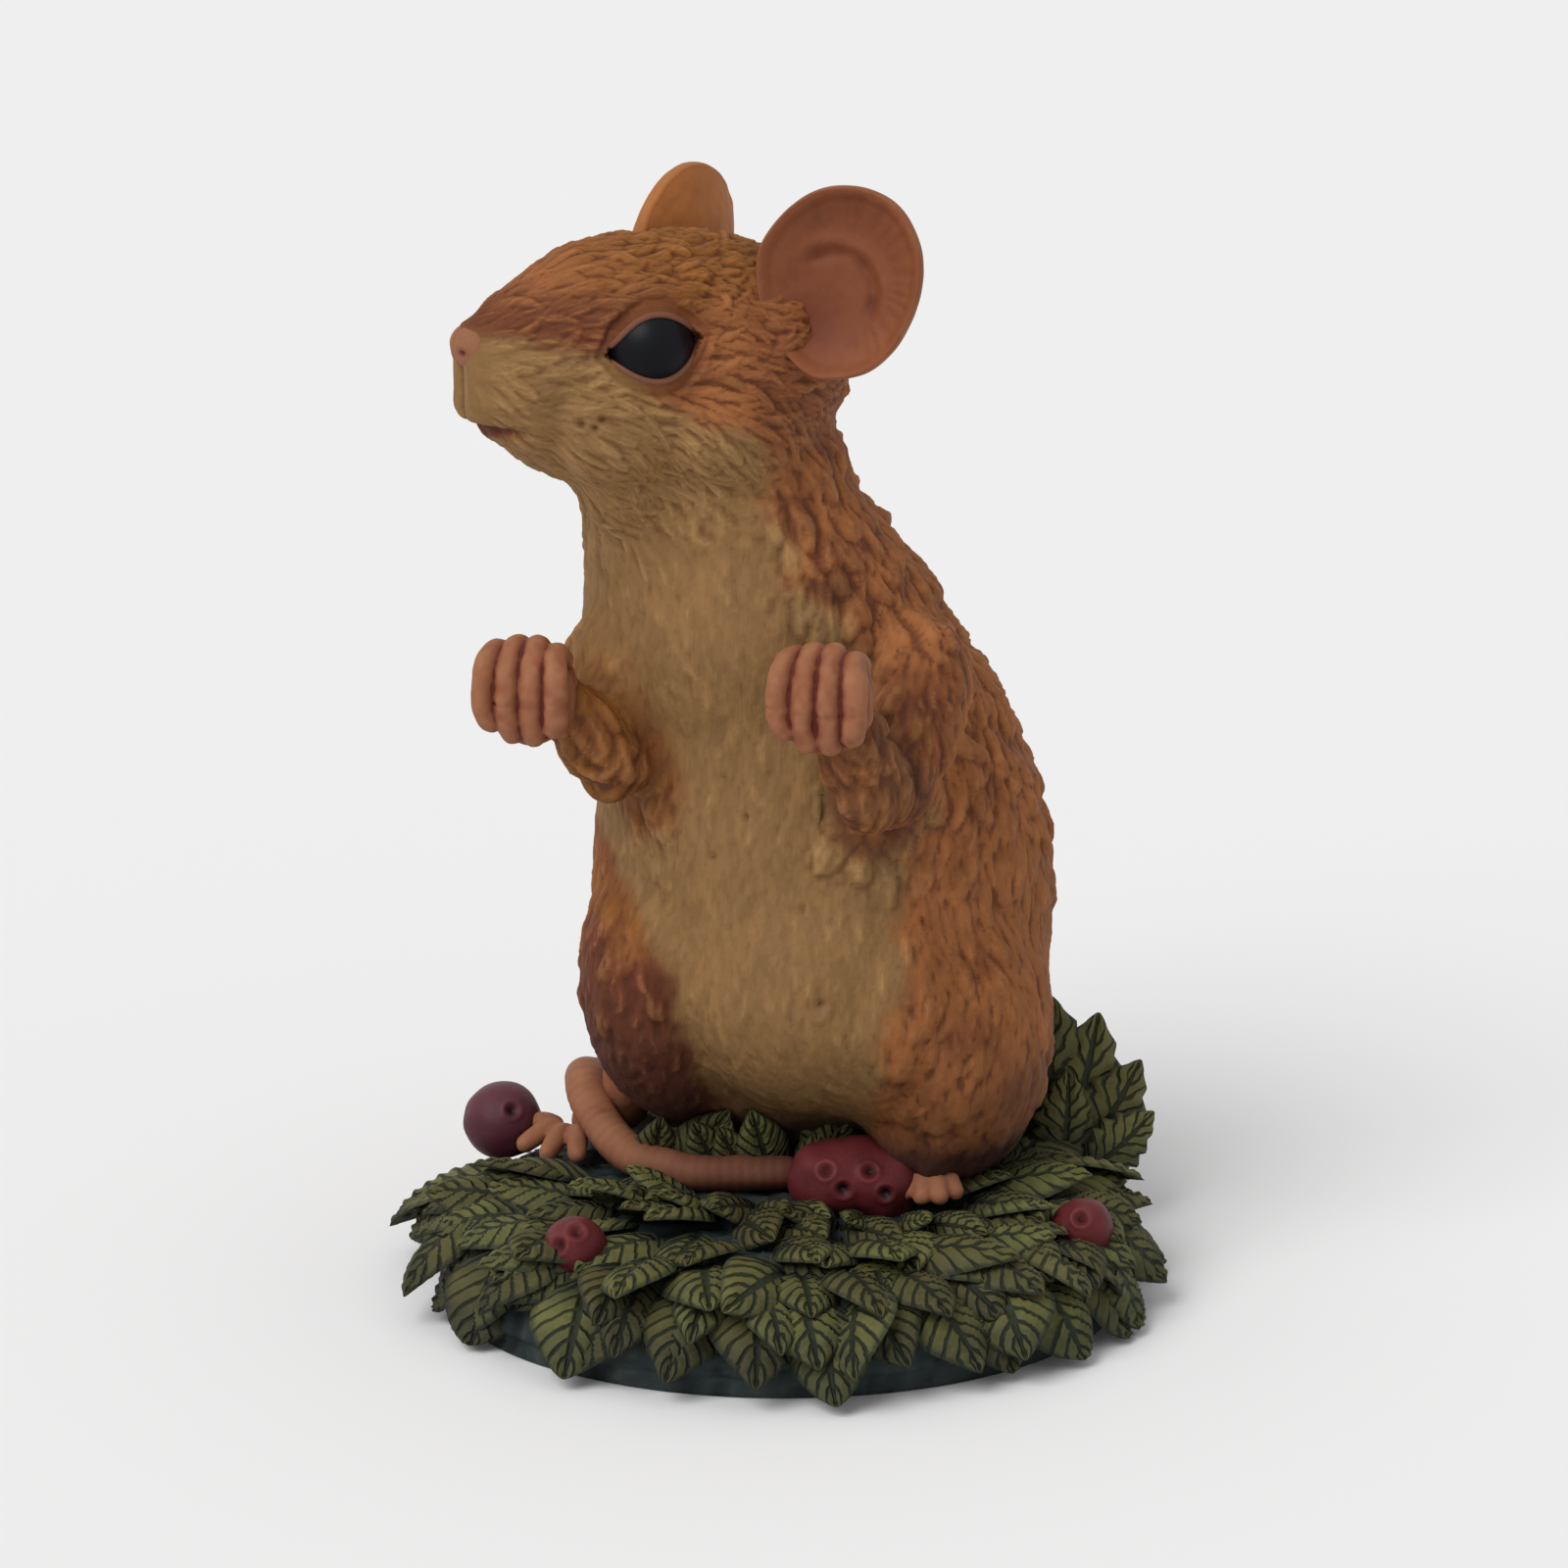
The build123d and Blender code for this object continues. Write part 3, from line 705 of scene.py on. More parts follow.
class NodeSheet:
    """Adds and links nodes in one node tree."""

    def __init__(self, tree: Tree) -> None:
        """Keeps the tree and empties it."""
        self.tree = tree
        self.tree.nodes.clear()
        self.place = 0

    def add(self, kind: str, values: dict | None = None, **settings: object) -> bpy.types.Node:
        """A new node with its settings, and numbers or links for its inputs.

        Args:
            kind: The node's type.
            values: By input name or number, a value or another node's output socket.
            **settings: Properties of the node.

        Returns:
            The node.
        """
        node = self.tree.nodes.new(kind)
        self.place += 1
        node.location = (self.place * 180, 0)
        for name, value in settings.items():
            setattr(node, name, value)
        for name, value in (values or {}).items():
            if isinstance(value, Socket):
                self.tree.links.new(value, node.inputs[name])
            else:
                node.inputs[name].default_value = value
        return node

    def attribute(self, name: str) -> Socket:
        """The number that the mesh holds under a name."""
        return self.add("ShaderNodeAttribute", attribute_name=name).outputs["Fac"]

    def maths(self, operation: str, *inputs: object) -> Socket:
        """One sum on numbers or sockets."""
        return self.add("ShaderNodeMath", dict(enumerate(inputs)), operation=operation).outputs[0]

    def weighted(self, *parts: tuple[object, float]) -> Socket:
        """Values added up, each times its weight."""
        total, *others = [self.maths("MULTIPLY", value, weight) for value, weight in parts]
        for other in others:
            total = self.maths("ADD", total, other)
        return total

    def mix(self, factor: object, first: object, second: object) -> Socket:
        """A blend of two colours."""
        node = self.add("ShaderNodeMix", {0: factor, 6: first, 7: second}, data_type="RGBA")
        return node.outputs[2]

    def span(
        self, value: object, low: float, high: float, start: float = 0.0, end: float = 1.0
    ) -> Socket:
        """A value carried smoothly from one range to another."""
        inputs = {"Value": value, "From Min": low, "From Max": high, "To Min": start, "To Max": end}
        return self.add("ShaderNodeMapRange", inputs, interpolation_type="SMOOTHSTEP").outputs["Result"]

    def noise(
        self, vector: object, scale: object, detail: float = 3.0, rough: float = 0.5
    ) -> Socket:
        """Cloudy noise on given coordinates."""
        inputs = {"Vector": vector, "Scale": scale, "Detail": detail, "Roughness": rough}
        return self.add("ShaderNodeTexNoise", inputs).outputs["Fac"]

    def place_on_object(self) -> Socket:
        """Object coordinates."""
        return self.add("ShaderNodeTexCoord").outputs["Object"]

    def hair(self, scale: tuple[float, float, float], turn: float = 0.0) -> Socket:
        """Noise on Object coordinates turned round the upright and then stretched, for strokes one way."""
        values = {"Vector": self.place_on_object(), "Rotation": (0.0, 0.0, turn)}
        turned = self.add("ShaderNodeMapping", values).outputs[0]
        stretched = self.add("ShaderNodeMapping", {"Vector": turned, "Scale": scale}).outputs[0]
        return self.noise(stretched, 1.0, 2.0, 0.55)


def new_group(name: str, inputs: list[tuple], outputs: dict[str, str]) -> Tree:
    """An empty shader group with named sockets."""
    group = bpy.data.node_groups.new(name, "ShaderNodeTree")
    for socket_name, kind, value in inputs:
        socket = group.interface.new_socket(socket_name, in_out="INPUT", socket_type=kind)
        socket.default_value = value
    for socket_name, kind in outputs.items():
        group.interface.new_socket(socket_name, in_out="OUTPUT", socket_type=kind)
    return group


@cache
def wash_group() -> Tree:
    """Dark wash that stays in the grooves and a pale dry brush on the ridges, by relief from 0 to 1."""
    grey = (0.5, 0.5, 0.5, 1.0)
    colors = [(name, "NodeSocketColor", grey) for name in ("Base", "Wash", "Dry Brush")]
    amounts = (("Relief", 0.5), ("Wash Amount", 1.0), ("Dry Amount", 1.0))
    numbers = [(name, "NodeSocketFloat", value) for name, value in amounts]
    group = new_group("wash and dry brush", colors + numbers, {"Color": "NodeSocketColor"})
    sheet = NodeSheet(group)
    given = sheet.add("NodeGroupInput").outputs
    groove = sheet.maths("MULTIPLY", sheet.span(given["Relief"], 0.5, 0.08), given["Wash Amount"])
    ridge = sheet.maths("MULTIPLY", sheet.span(given["Relief"], 0.52, 0.95), given["Dry Amount"])
    dried = sheet.mix(ridge, sheet.mix(groove, given["Base"], given["Wash"]), given["Dry Brush"])
    sheet.add("NodeGroupOutput", {"Color": dried})
    return group


@cache
def mottle_group() -> Tree:
    """Hand-painted unevenness: the colour grows lighter and darker in soft clouds and small specks."""
    inputs = [
        ("Color", "NodeSocketColor", (0.5, 0.5, 0.5, 1.0)),
        ("Scale", "NodeSocketFloat", 1.0),
        ("Amount", "NodeSocketFloat", 0.2),
    ]
    group = new_group("painted mottle", inputs, {"Color": "NodeSocketColor", "Height": "NodeSocketFloat"})
    sheet = NodeSheet(group)
    given = sheet.add("NodeGroupInput").outputs
    place = sheet.place_on_object()
    cloud = sheet.noise(place, sheet.maths("MULTIPLY", given["Scale"], 260.0), 4.0)
    speck = sheet.noise(place, sheet.maths("MULTIPLY", given["Scale"], 2200.0), 2.0)
    both = sheet.weighted((cloud, 0.7), (speck, 0.3))
    swing = sheet.maths("MULTIPLY", sheet.maths("SUBTRACT", both, 0.5), given["Amount"])
    value = sheet.maths("ADD", 1.0, sheet.maths("MULTIPLY", swing, 2.4))
    shifted = sheet.add("ShaderNodeHueSaturation", {"Color": given["Color"], "Value": value})
    sheet.add("NodeGroupOutput", {"Color": shifted.outputs[0], "Height": both})
    return group


def washed(
    sheet: NodeSheet, base: object, wash: object, dry: object, relief: object, amounts: tuple[float, float]
) -> Socket:
    """The shared wash and dry brush placed in a material.

    Args:
        sheet: The material's nodes.
        base: The colour between grooves and ridges.
        wash: The colour in the grooves.
        dry: The colour on the ridges.
        relief: 0 in a groove, 1 on a ridge.
        amounts: How strong the wash and the dry brush are.

    Returns:
        The colour.
    """
    values = {"Base": base, "Wash": wash, "Dry Brush": dry, "Relief": relief}
    values |= {"Wash Amount": amounts[0], "Dry Amount": amounts[1]}
    return sheet.add("ShaderNodeGroup", values, node_tree=wash_group()).outputs[0]


def mottled(sheet: NodeSheet, color: object, scale: float, amount: float) -> Sequence:
    """The colour and the height of the shared mottle, placed in a material."""
    values = {"Color": color, "Scale": scale, "Amount": amount}
    node = sheet.add("ShaderNodeGroup", values, node_tree=mottle_group())
    return node.outputs["Color"], node.outputs["Height"]


def new_material(name: str) -> tuple[Material, NodeSheet]:
    """An empty node material."""
    material = bpy.data.materials.new(name)
    material.use_nodes = True
    return material, NodeSheet(material.node_tree)


def close_material(sheet: NodeSheet, color: object, roughness: object, height: object, depth: float) -> None:
    """Ends a material: a Principled shader with a bump, on the output.

    Args:
        sheet: The material's nodes.
        color: The painted colour.
        roughness: A number or a socket.
        height: The bump's height.
        depth: The bump's depth in millimetres.
    """
    bump = sheet.add("ShaderNodeBump", {"Height": height, "Distance": depth * MM, "Strength": 1.0})
    values = {"Base Color": color, "Roughness": roughness, "Normal": bump.outputs[0]}
    values["Specular IOR Level"] = 0.16
    shader = sheet.add("ShaderNodeBsdfPrincipled", values)
    sheet.add("ShaderNodeOutputMaterial", {"Surface": shader.outputs[0]})


@dataclass(frozen=True)
class FurPaint:
    """The coat: cream below, brown above, gold on the crown, a red-brown wash between the locks."""

    cream: tuple = paint(132, 99, 61)
    brown: tuple = paint(149, 92, 53)
    gold: tuple = paint(131, 81, 35)
    rust: tuple = paint(97, 51, 30)
    cream_wash: tuple = paint(98, 62, 36)
    brown_wash: tuple = paint(70, 35, 23)
    cream_dry: tuple = paint(166, 131, 84)
    brown_dry: tuple = paint(158, 106, 64)
    shade: tuple = paint(48, 28, 27)
    hair_across: float = 2400.0
    hair_along: float = 420.0

    def material(self) -> Material:
        """The coat's material, which reads the coat's own attributes."""
        material, sheet = new_material("painted fur")
        cream = sheet.attribute("cream")
        brown = sheet.mix(sheet.attribute("gold"), self.brown, self.gold)
        brown = sheet.mix(sheet.attribute("rust"), brown, self.rust)
        base = sheet.mix(cream, brown, self.cream)
        wash = sheet.mix(cream, self.brown_wash, self.cream_wash)
        dry = sheet.mix(cream, self.brown_dry, self.cream_dry)
        body = sheet.hair((self.hair_across, self.hair_across, self.hair_along))
        turn = -math.radians(90 + HeadFrame.turn_deg)
        head = sheet.hair((self.hair_across, self.hair_along, self.hair_across), turn)
        parts = {0: sheet.attribute("head"), 2: body, 3: head}
        hair = sheet.add("ShaderNodeMix", parts, data_type="FLOAT").outputs[0]
        fine = sheet.weighted((sheet.attribute("relief"), 0.68), (hair, 0.32))
        color = washed(sheet, base, wash, dry, fine, (0.7, 0.55))
        color = sheet.mix(sheet.attribute("shade"), color, self.shade)
        # The tone attribute lightens and darkens the colour: each lock's own tone, with painted light on the
        # throat and painted shade on the near haunch.
        value = sheet.span(sheet.attribute("tone"), -1.0, 1.0, 0.84, 1.18)
        color = sheet.add("ShaderNodeHueSaturation", {"Color": color, "Value": value}).outputs[0]
        color, _ = mottled(sheet, color, 1.0, 0.22)
        close_material(sheet, color, sheet.span(hair, 0.2, 0.8, 0.62, 0.78), hair, 0.10)
        return material


@dataclass(frozen=True)
class SkinPaint:
    """Bare skin: pinkish tan with a red wash in the creases and a paler tone on what stands out."""

    name: str
    base: tuple = paint(142, 92, 66)
    wash: tuple = paint(96, 36, 28)
    dry: tuple = paint(170, 122, 90)
    dark: tuple = paint(78, 44, 34)
    roughness: float = 0.6

    def material(self) -> Material:
        """The skin's material; the attribute shade darkens it towards its dark tone."""
        material, sheet = new_material(self.name)
        color, _ = mottled(sheet, self.base, 1.0, 0.25)
        grain = sheet.noise(sheet.place_on_object(), 1600.0)
        relief = sheet.weighted((sheet.attribute("relief"), 0.85), (grain, 0.15))
        color = washed(sheet, color, self.wash, self.dry, relief, (0.9, 0.6))
        color = sheet.mix(sheet.attribute("shade"), color, self.dark)
        close_material(sheet, color, self.roughness, grain, 0.05)
        return material


@dataclass(frozen=True)
class LeafPaint:
    """Leaves: near-black green in the veins, dark blue-green painted shade towards each leaf's root and low
    on it, dry-brushed yellow green on the lobes.
    """

    base: tuple = paint(51, 55, 37)
    wash: tuple = paint(13, 17, 15)
    dry: tuple = paint(104, 101, 58)
    # the colour of the painted shade near the leaves' roots and low down
    depth_shade: tuple = paint(22, 30, 31)
    vein_sweep: float = 0.26

    def material(self) -> Material:
        """The leaf's material: veins from the piece's own UV map, u along the leaf and v across it."""
        material, sheet = new_material("painted leaf")
        place = sheet.add("ShaderNodeUVMap", uv_map="shape").outputs[0]
        along, across, _ = sheet.add("ShaderNodeSeparateXYZ", {0: place}).outputs
        spread = sheet.maths("ABSOLUTE", across)
        cloud = sheet.noise(sheet.place_on_object(), 900.0)
        wobble = sheet.maths("MULTIPLY", sheet.maths("SUBTRACT", cloud, 0.5), 0.05)
        sweep = sheet.maths("MULTIPLY", spread, self.vein_sweep)
        sweep = sheet.maths("SUBTRACT", sheet.maths("ADD", along, wobble), sweep)
        phase = sheet.maths("FRACT", sheet.maths("DIVIDE", sheet.maths("ADD", sweep, 1.0), VEIN_PITCH))
        lobe = sheet.span(sheet.maths("ABSOLUTE", sheet.maths("SUBTRACT", phase, 0.5)), 0.5, 0.30)
        rib = sheet.span(spread, 0.03, 0.13)
        edge = sheet.span(spread, 1.0, 0.80, 0.55, 1.0)
        height = sheet.maths("MULTIPLY", sheet.maths("MULTIPLY", lobe, rib), edge)
        grain = sheet.noise(sheet.place_on_object(), 1500.0)
        # The open attribute is painted shade: low at a leaf's root and on its lower side, where it darkens
        # the colour and lowers the relief.
        unshaded, tone = sheet.attribute("open"), sheet.attribute("tone")
        relief = sheet.weighted((height, 0.52), (grain, 0.26), (unshaded, 0.22))
        color = washed(sheet, self.base, self.wash, self.dry, relief, (1.0, 0.9))
        hue, value = sheet.span(tone, 0.0, 1.0, 0.485, 0.51), sheet.span(tone, 0.0, 1.0, 0.72, 1.15)
        color = sheet.add("ShaderNodeHueSaturation", {"Color": color, "Hue": hue, "Value": value}).outputs[0]
        color = sheet.mix(sheet.maths("SUBTRACT", 1.0, unshaded), color, self.depth_shade)
        bump = sheet.maths("ADD", height, sheet.maths("MULTIPLY", grain, 0.25))
        close_material(sheet, color, 0.62, bump, 0.22)
        return material


@dataclass(frozen=True)
class DabbedPaint:
    """Mottled paint with a dark wash in the hollows and a pale dry brush on what stands out."""

    name: str
    base: tuple
    wash: tuple
    dry: tuple
    clouds: float
    unevenness: float
    roughness: float
    depth: float

    def material(self) -> Material:
        """The material, which reads the piece's own relief."""
        material, sheet = new_material(self.name)
        color, height = mottled(sheet, self.base, self.clouds, self.unevenness)
        color = washed(sheet, color, self.wash, self.dry, sheet.attribute("relief"), (1.0, 0.7))
        close_material(sheet, color, self.roughness, height, self.depth)
        return material


@dataclass(frozen=True)
class BerryPaint(DabbedPaint):
    """Berries: satin dark red that is darker in the pits, with painted shade low down and painted light on
    top.
    """

    base: tuple = paint(84, 29, 32)
    wash: tuple = paint(30, 12, 16)
    dry: tuple = paint(112, 50, 50)
    clouds: float = 1.4
    unevenness: float = 0.3
    roughness: float = 0.5
    depth: float = 0.12


@dataclass(frozen=True)
class MoundPaint(DabbedPaint):
    """The ground of the mound: dark blue-green, almost black in the hollows."""

    name: str = "painted mound"
    base: tuple = paint(44, 52, 52)
    wash: tuple = paint(14, 18, 19)
    dry: tuple = paint(74, 84, 74)
    clouds: float = 0.8
    unevenness: float = 0.5
    roughness: float = 0.7
    depth: float = 0.25


@dataclass(frozen=True)
class EyePaint:
    """The eyes: satin blue-black."""

    base: tuple = paint(2, 3, 9)

    def material(self) -> Material:
        """The eye's material."""
        material, sheet = new_material("painted eye")
        color, height = mottled(sheet, self.base, 1.2, 0.25)
        close_material(sheet, color, 0.42, height, 0.03)
        return material


# The mouse


def node_box(node: str) -> tuple[Array, Array]:
    """The low and the high corner of a CAD node's box, in millimetres."""
    low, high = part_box(node)
    return np.array(low) / MM, np.array(high) / MM


class HeadFrame:
    """Measures of the turned head from the skull's middle: a along it, b to its left, c up."""

    turn_deg = 25.0
    turn = math.radians(turn_deg)
    middle = np.array([-4.6, 3.6, 81.8])
    forward = np.array([-math.cos(turn), -math.sin(turn), 0.0])
    left = np.array([math.sin(turn), -math.cos(turn), 0.0])
    axes = (forward, left, UP)

    @classmethod
    def point(cls, a: float, b: float, c: float) -> Array:
        """The place at head measures a, b and c."""
        return cls.middle + a * cls.forward + b * cls.left + c * UP

    @classmethod
    def measures(cls, points: Array) -> tuple[Array, Array, Array]:
        """Head measures a, b and c of places."""
        offset = points - cls.middle
        return offset @ cls.forward, offset @ cls.left, offset @ UP


@dataclass
class Eye:
    """One eye's opening: a lens with pointed corners, laid on the eyeball."""

    side: Side
    half_length: float = 3.95
    half_height: float = 2.65
    rim: float = 0.28
    lid: float = 0.28
    sunk: float = 0.9
    tilt_deg: float = -8.0
    faces: tuple = (0.16, 0.06)

    def __post_init__(self) -> None:
        """Reads the eyeball from the frame and sets the opening's directions."""
        low, high = node_box(f"{self.side.word}_eye")
        self.radius = (high[2] - low[2]) / 2
        self.centre = (low + high) / 2
        out = self.side.value * HeadFrame.left
        self.out = unit(out + self.faces[0] * HeadFrame.forward + self.faces[1] * UP)
        along = unit(HeadFrame.forward - self.out * (HeadFrame.forward @ self.out))
        rise = unit(np.cross(self.out, along) * self.side.value)
        self.along, self.rise = rolled(along, rise if rise[2] > 0 else -rise, self.tilt_deg)

    def measures(self, points: Array) -> tuple[Array, Array, Array, Array]:
        """Along, up and out of the eyeball's middle, and the lens value, which is 1 on the opening's edge."""
        offset = points - self.centre
        x, y, z = offset @ self.along, offset @ self.rise, offset @ self.out
        lens = np.abs(y) / self.half_height + (x / self.half_length) ** 2
        return x, y, z, lens

    def ball_height(self, x: Array, y: Array) -> Array:
        """How far out the eyeball's surface stands at x, y."""
        return np.sqrt(np.maximum(self.radius**2 - x**2 - y**2, 0.0))

    def shape_lids(self, points: Array) -> Array:
        """Moves skin points: sunk behind the ball inside the opening, raised over it round the opening.

        The lid stands over the ball near the edge and fades into the cheek, with a low fold further out and a
        crease at each corner.
        """
        x, y, z, lens = self.measures(points)
        near = (z > -1.0) & (np.hypot(x, y) < 9.0)
        ball = self.ball_height(x, y)
        away = np.abs(x)
        fade = ease(2.3, 1.15, lens) * ease(6.4, 4.4, away)
        raised = np.maximum(z, z + (ball + self.lid - z) * fade)
        fold = (0.26 * bell(lens - 1.72, 0.16) - 0.22 * bell(lens - 1.42, 0.1)) * ease(6.2, 3.6, away)
        corner = -0.35 * bell(y, 0.3) * ease(3.6, 4.2, away) * ease(6.6, 5.0, away)
        target = np.where(lens < 1.0, np.minimum(z, ball - self.sunk), raised + fold + corner)
        shift = np.where(near, target - z, 0.0)
        return points + shift[:, None] * self.out

    def rim_form(self) -> Form:
        """The rounded rim: a tube along the lens's edge, thinner at the corners, just proud of the ball."""
        turn = turns(144)
        x = self.half_length * np.cos(turn) * 1.02
        y = np.sign(np.sin(turn)) * self.half_height * (1 - np.cos(turn) ** 2) * 1.02
        z = self.ball_height(x, y) + 0.1
        path = self.centre + x[:, None] * self.along + y[:, None] * self.rise + z[:, None] * self.out
        tangent = unit(np.roll(path, -1, axis=0) - np.roll(path, 1, axis=0))
        side = unit(np.cross(tangent, self.out))
        radius = self.rim * (0.62 + 0.38 * np.abs(np.sin(turn)) ** 0.5)
        rings = oval_rings(path, side, np.cross(side, tangent), radius, radius, 12)
        rows, columns = rings.shape[:2]
        index = np.arange(rows * columns).reshape(rows, columns)
        after, below = np.roll(index, -1, axis=1), np.roll(index, -1, axis=0)
        quads = np.stack([index, after, np.roll(below, -1, axis=1), below], axis=-1).reshape(-1, 4)
        return Form(rings.reshape(-1, 3), quads).outward()

    def build(self, skin: Material, ball: Material) -> None:
        """Paints the eyeball, which stays the frame's own, and adds the rim."""
        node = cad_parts[f"{self.side.word}_eye"]
        node.data.materials.clear()
        node.data.materials.append(ball)
        form = self.rim_form()
        fields = {"relief": np.full(len(form.points), 0.72), "shade": np.zeros(len(form.points))}
        piece = new_mesh_object(f"{self.side.word}_eye_rim", form, fields)
        finish_piece(piece, skin)


@dataclass
class Coat:
    """All that carries fur: torso, head, haunches and arms, melted into one skin and then cut apart."""

    voxel: float = 0.348
    quick_voxel: float = 0.42
    body_soften: float = 1.75
    face_share: float = 0.22
    mound_top: float = 8.4
    seam_depth: float = 7.0
    head_contrast: float = 1.15
    body_contrast: float = 0.68
    sink: float = 0.2
    pieces: tuple = ("torso", "head", "left_haunch", "right_haunch", "left_arm", "right_arm")

    # along the head, rise, half width, half height
    skull_table: tuple = (
        (-9.6, -1.2, 2.6, 2.4), (-8.4, -1.0, 5.2, 4.6), (-5.6, -0.6, 8.0, 7.6), (-1.6, -0.1, 9.8, 9.6),
        (3.0, 0.0, 10.3, 10.3), (7.6, 0.0, 9.8, 10.5), (12.0, 0.0, 8.5, 10.2), (15.4, -0.05, 7.1, 9.5),
        (18.2, -0.1, 5.7, 8.1), (20.8, 0.05, 4.3, 6.2), (22.6, 0.0, 3.4, 4.9), (24.0, 0.1, 2.5, 4.1),
    )
    # height, middle across, middle back, half width, half depth
    torso_table: tuple = (
        (7.6, 3.0, 16.4, 11.6, 7.6), (11.0, 3.2, 14.6, 14.2, 10.0), (16.0, 3.4, 12.2, 17.2, 12.8),
        (24.0, 3.3, 9.8, 19.5, 16.6), (32.0, 3.4, 9.0, 20.1, 17.3), (40.0, 3.2, 8.4, 19.7, 16.6),
        (47.0, 2.2, 7.8, 18.3, 15.2), (53.0, 0.4, 7.3, 17.1, 14.2), (58.0, -1.6, 6.7, 15.8, 13.0),
        (64.0, -3.2, 5.9, 13.9, 11.8), (70.0, -5.6, 5.0, 11.7, 10.6), (76.0, -6.6, 4.4, 10.2, 9.6),
        (80.0, -6.2, 4.2, 8.0, 7.6),
    )
    # lips, chin, cheeks and brows on both sides of the head: along it, outwards, up, half sizes
    paired_table: tuple = (
        (22.0, 1.5, -2.5, 2.2, 2.0, 2.4),
        (22.3, 0.9, 1.3, 1.9, 1.7, 2.4),
        (18.4, 3.2, -2.2, 4.2, 3.0, 4.4),
        (12.4, 4.6, -4.4, 5.6, 4.4, 5.2),
        (9.4, 6.7, 5.2, 4.6, 2.4, 2.4),
        (2.8, 6.4, -5.0, 6.6, 4.6, 5.4),
    )
    # roots of the ears: along the head, to its left, up, half sizes
    ear_table: tuple = ((-1.2, 7.6, 1.2, 4.2, 2.9, 5.0), (-1.4, -8.0, 3.6, 4.0, 3.2, 5.0))
    # neck, throat, chest, belly, haunches: across, back, up, half sizes, turn in degrees
    body_table: tuple = (
        (-5.6, 4.6, 70.6, 11.0, 10.2, 9.0, 0.0),
        (-12.8, -1.4, 72.4, 4.9, 5.2, 5.0, 0.0),
        (-2.4, 0.8, 57.5, 11.8, 8.8, 12.0, 0.0),
        (2.8, 1.6, 29.0, 13.2, 12.6, 13.4, 0.0),
        (8.6, 1.6, 27.0, 10.4, 12.2, 12.4, 0.0),
        (14.7, 1.6, 23.1, 8.4, 11.0, 13.5, 19.0),
        (13.4, 0.6, 15.2, 6.2, 7.8, 5.6, 19.0),
        (-9.2, 5.0, 27.4, 8.1, 11.0, 13.2, 19.0),
    )
    # upper arm and forearm of each side, with their radii
    arm_table: tuple = (
        (((10.6, 1.6, 59.0), (10.6, -4.2, 52.0), (7.8, -9.4, 45.0)), 4.6, 3.3),
        (((7.9, -9.6, 44.8), (6.2, -11.8, 50.0), (4.4, -13.4, 57.0)), 3.3, 2.5),
        (((-12.9, 3.6, 60.4), (-14.0, 0.4, 53.0), (-12.7, -2.8, 45.6)), 4.8, 3.0),
        (((-12.8, -3.0, 45.6), (-15.8, -4.6, 50.4), (-19.6, -5.6, 56.2)), 3.0, 2.4),
    )
    # along the head, height of the line between brown above and cream below
    cheek_line: tuple = (
        (-6.0, -13.0), (-1.5, -8.3), (3.3, -5.0), (7.0, -3.2),
        (10.4, -1.4), (13.1, 1.2), (17.0, 2.4), (21.4, 3.2),
    )
    # height, how far to the left the cream of the front reaches
    belly_line: tuple = (
        (8.0, 7.0), (20.0, 8.0), (34.0, 9.6), (44.0, 12.0), (52.0, 11.0),
        (58.0, 6.0), (64.0, 1.5), (70.0, -1.2), (76.0, -2.4), (82.0, -3.0),
    )
    # height, where the right haunch begins
    haunch_line: tuple = ((10.0, -4.0), (17.0, -6.0), (29.5, -9.8), (38.0, -14.2), (44.0, -19.0))
    # along the head, height
    whisker_pits: tuple = ((16.6, -3.6), (15.6, -3.9), (15.0, -3.2))
    # across, height
    belly_pits: tuple = ((-3.2, 44.2), (-6.1, 40.6), (-5.2, 47.4), (1.4, 36.8), (3.0, 29.0))

    def forms(self) -> list[Form]:
        """The masses of the body before they are melted together."""
        h = HeadFrame
        skull = curve_through(np.array(self.skull_table), 60)
        centres = h.middle + skull[:, :1] * h.forward + skull[:, 1:2] * UP
        head = capped(oval_rings(centres, h.left, UP, skull[:, 2], skull[:, 3], 72))
        torso = curve_through(np.array(self.torso_table), 60)
        centres = np.stack([torso[:, 1], torso[:, 2], torso[:, 0]], axis=1)
        made = [head, capped(oval_rings(centres, X_AXIS, Y_AXIS, torso[:, 3], torso[:, 4], 96))]
        for s in (1, -1):
            for a, b, c, *halves in self.paired_table:
                made.append(ellipsoid(h.point(a, s * b, c), h.axes, halves))
        for a, b, c, *halves in self.ear_table:
            made.append(ellipsoid(h.point(a, b, c), h.axes, halves))
        for x, y, z, *halves, turn in self.body_table:
            made.append(ellipsoid((x, y, z), self.turned_axes(turn), halves))
        for points, start, end in self.arm_table:
            made.append(capped(limb_rings(np.array(points), start, end, 32)))
        return made

    @staticmethod
    def turned_axes(degrees: float) -> tuple[Array, Array, Array]:
        """Across, back and up for a form turned towards -X by an angle."""
        a = math.radians(degrees)
        return np.array([math.cos(a), -math.sin(a), 0]), np.array([math.sin(a), math.cos(a), 0]), UP

    @property
    def cell(self) -> float:
        """The voxel in use."""
        return voxel_edge(self.voxel)

    def melted(self) -> Sculpt:
        """The skin before its fur, softened until edges are about body_soften wide."""
        skin = Sculpt.from_forms(self.forms(), self.cell)
        a, _, c = HeadFrame.measures(skin.points)
        face = ease(4.0, 16.0, a) * ease(-12.0, -9.0, c)
        steps = int(2.0 * (self.body_soften / self.cell) ** 2)
        skin.relax(steps, (0.5 * (1 - face) + 0.5 * self.face_share * face)[:, None])
        return skin

    @staticmethod
    def over_neck(points: Array, height: float) -> Array:
        """Distance above the sloping plane between body and head, which crosses the neck at a height."""
        return (points - np.array([-5.0, 4.0, height])) @ unit(np.array([-0.42, -0.12, 0.9]))

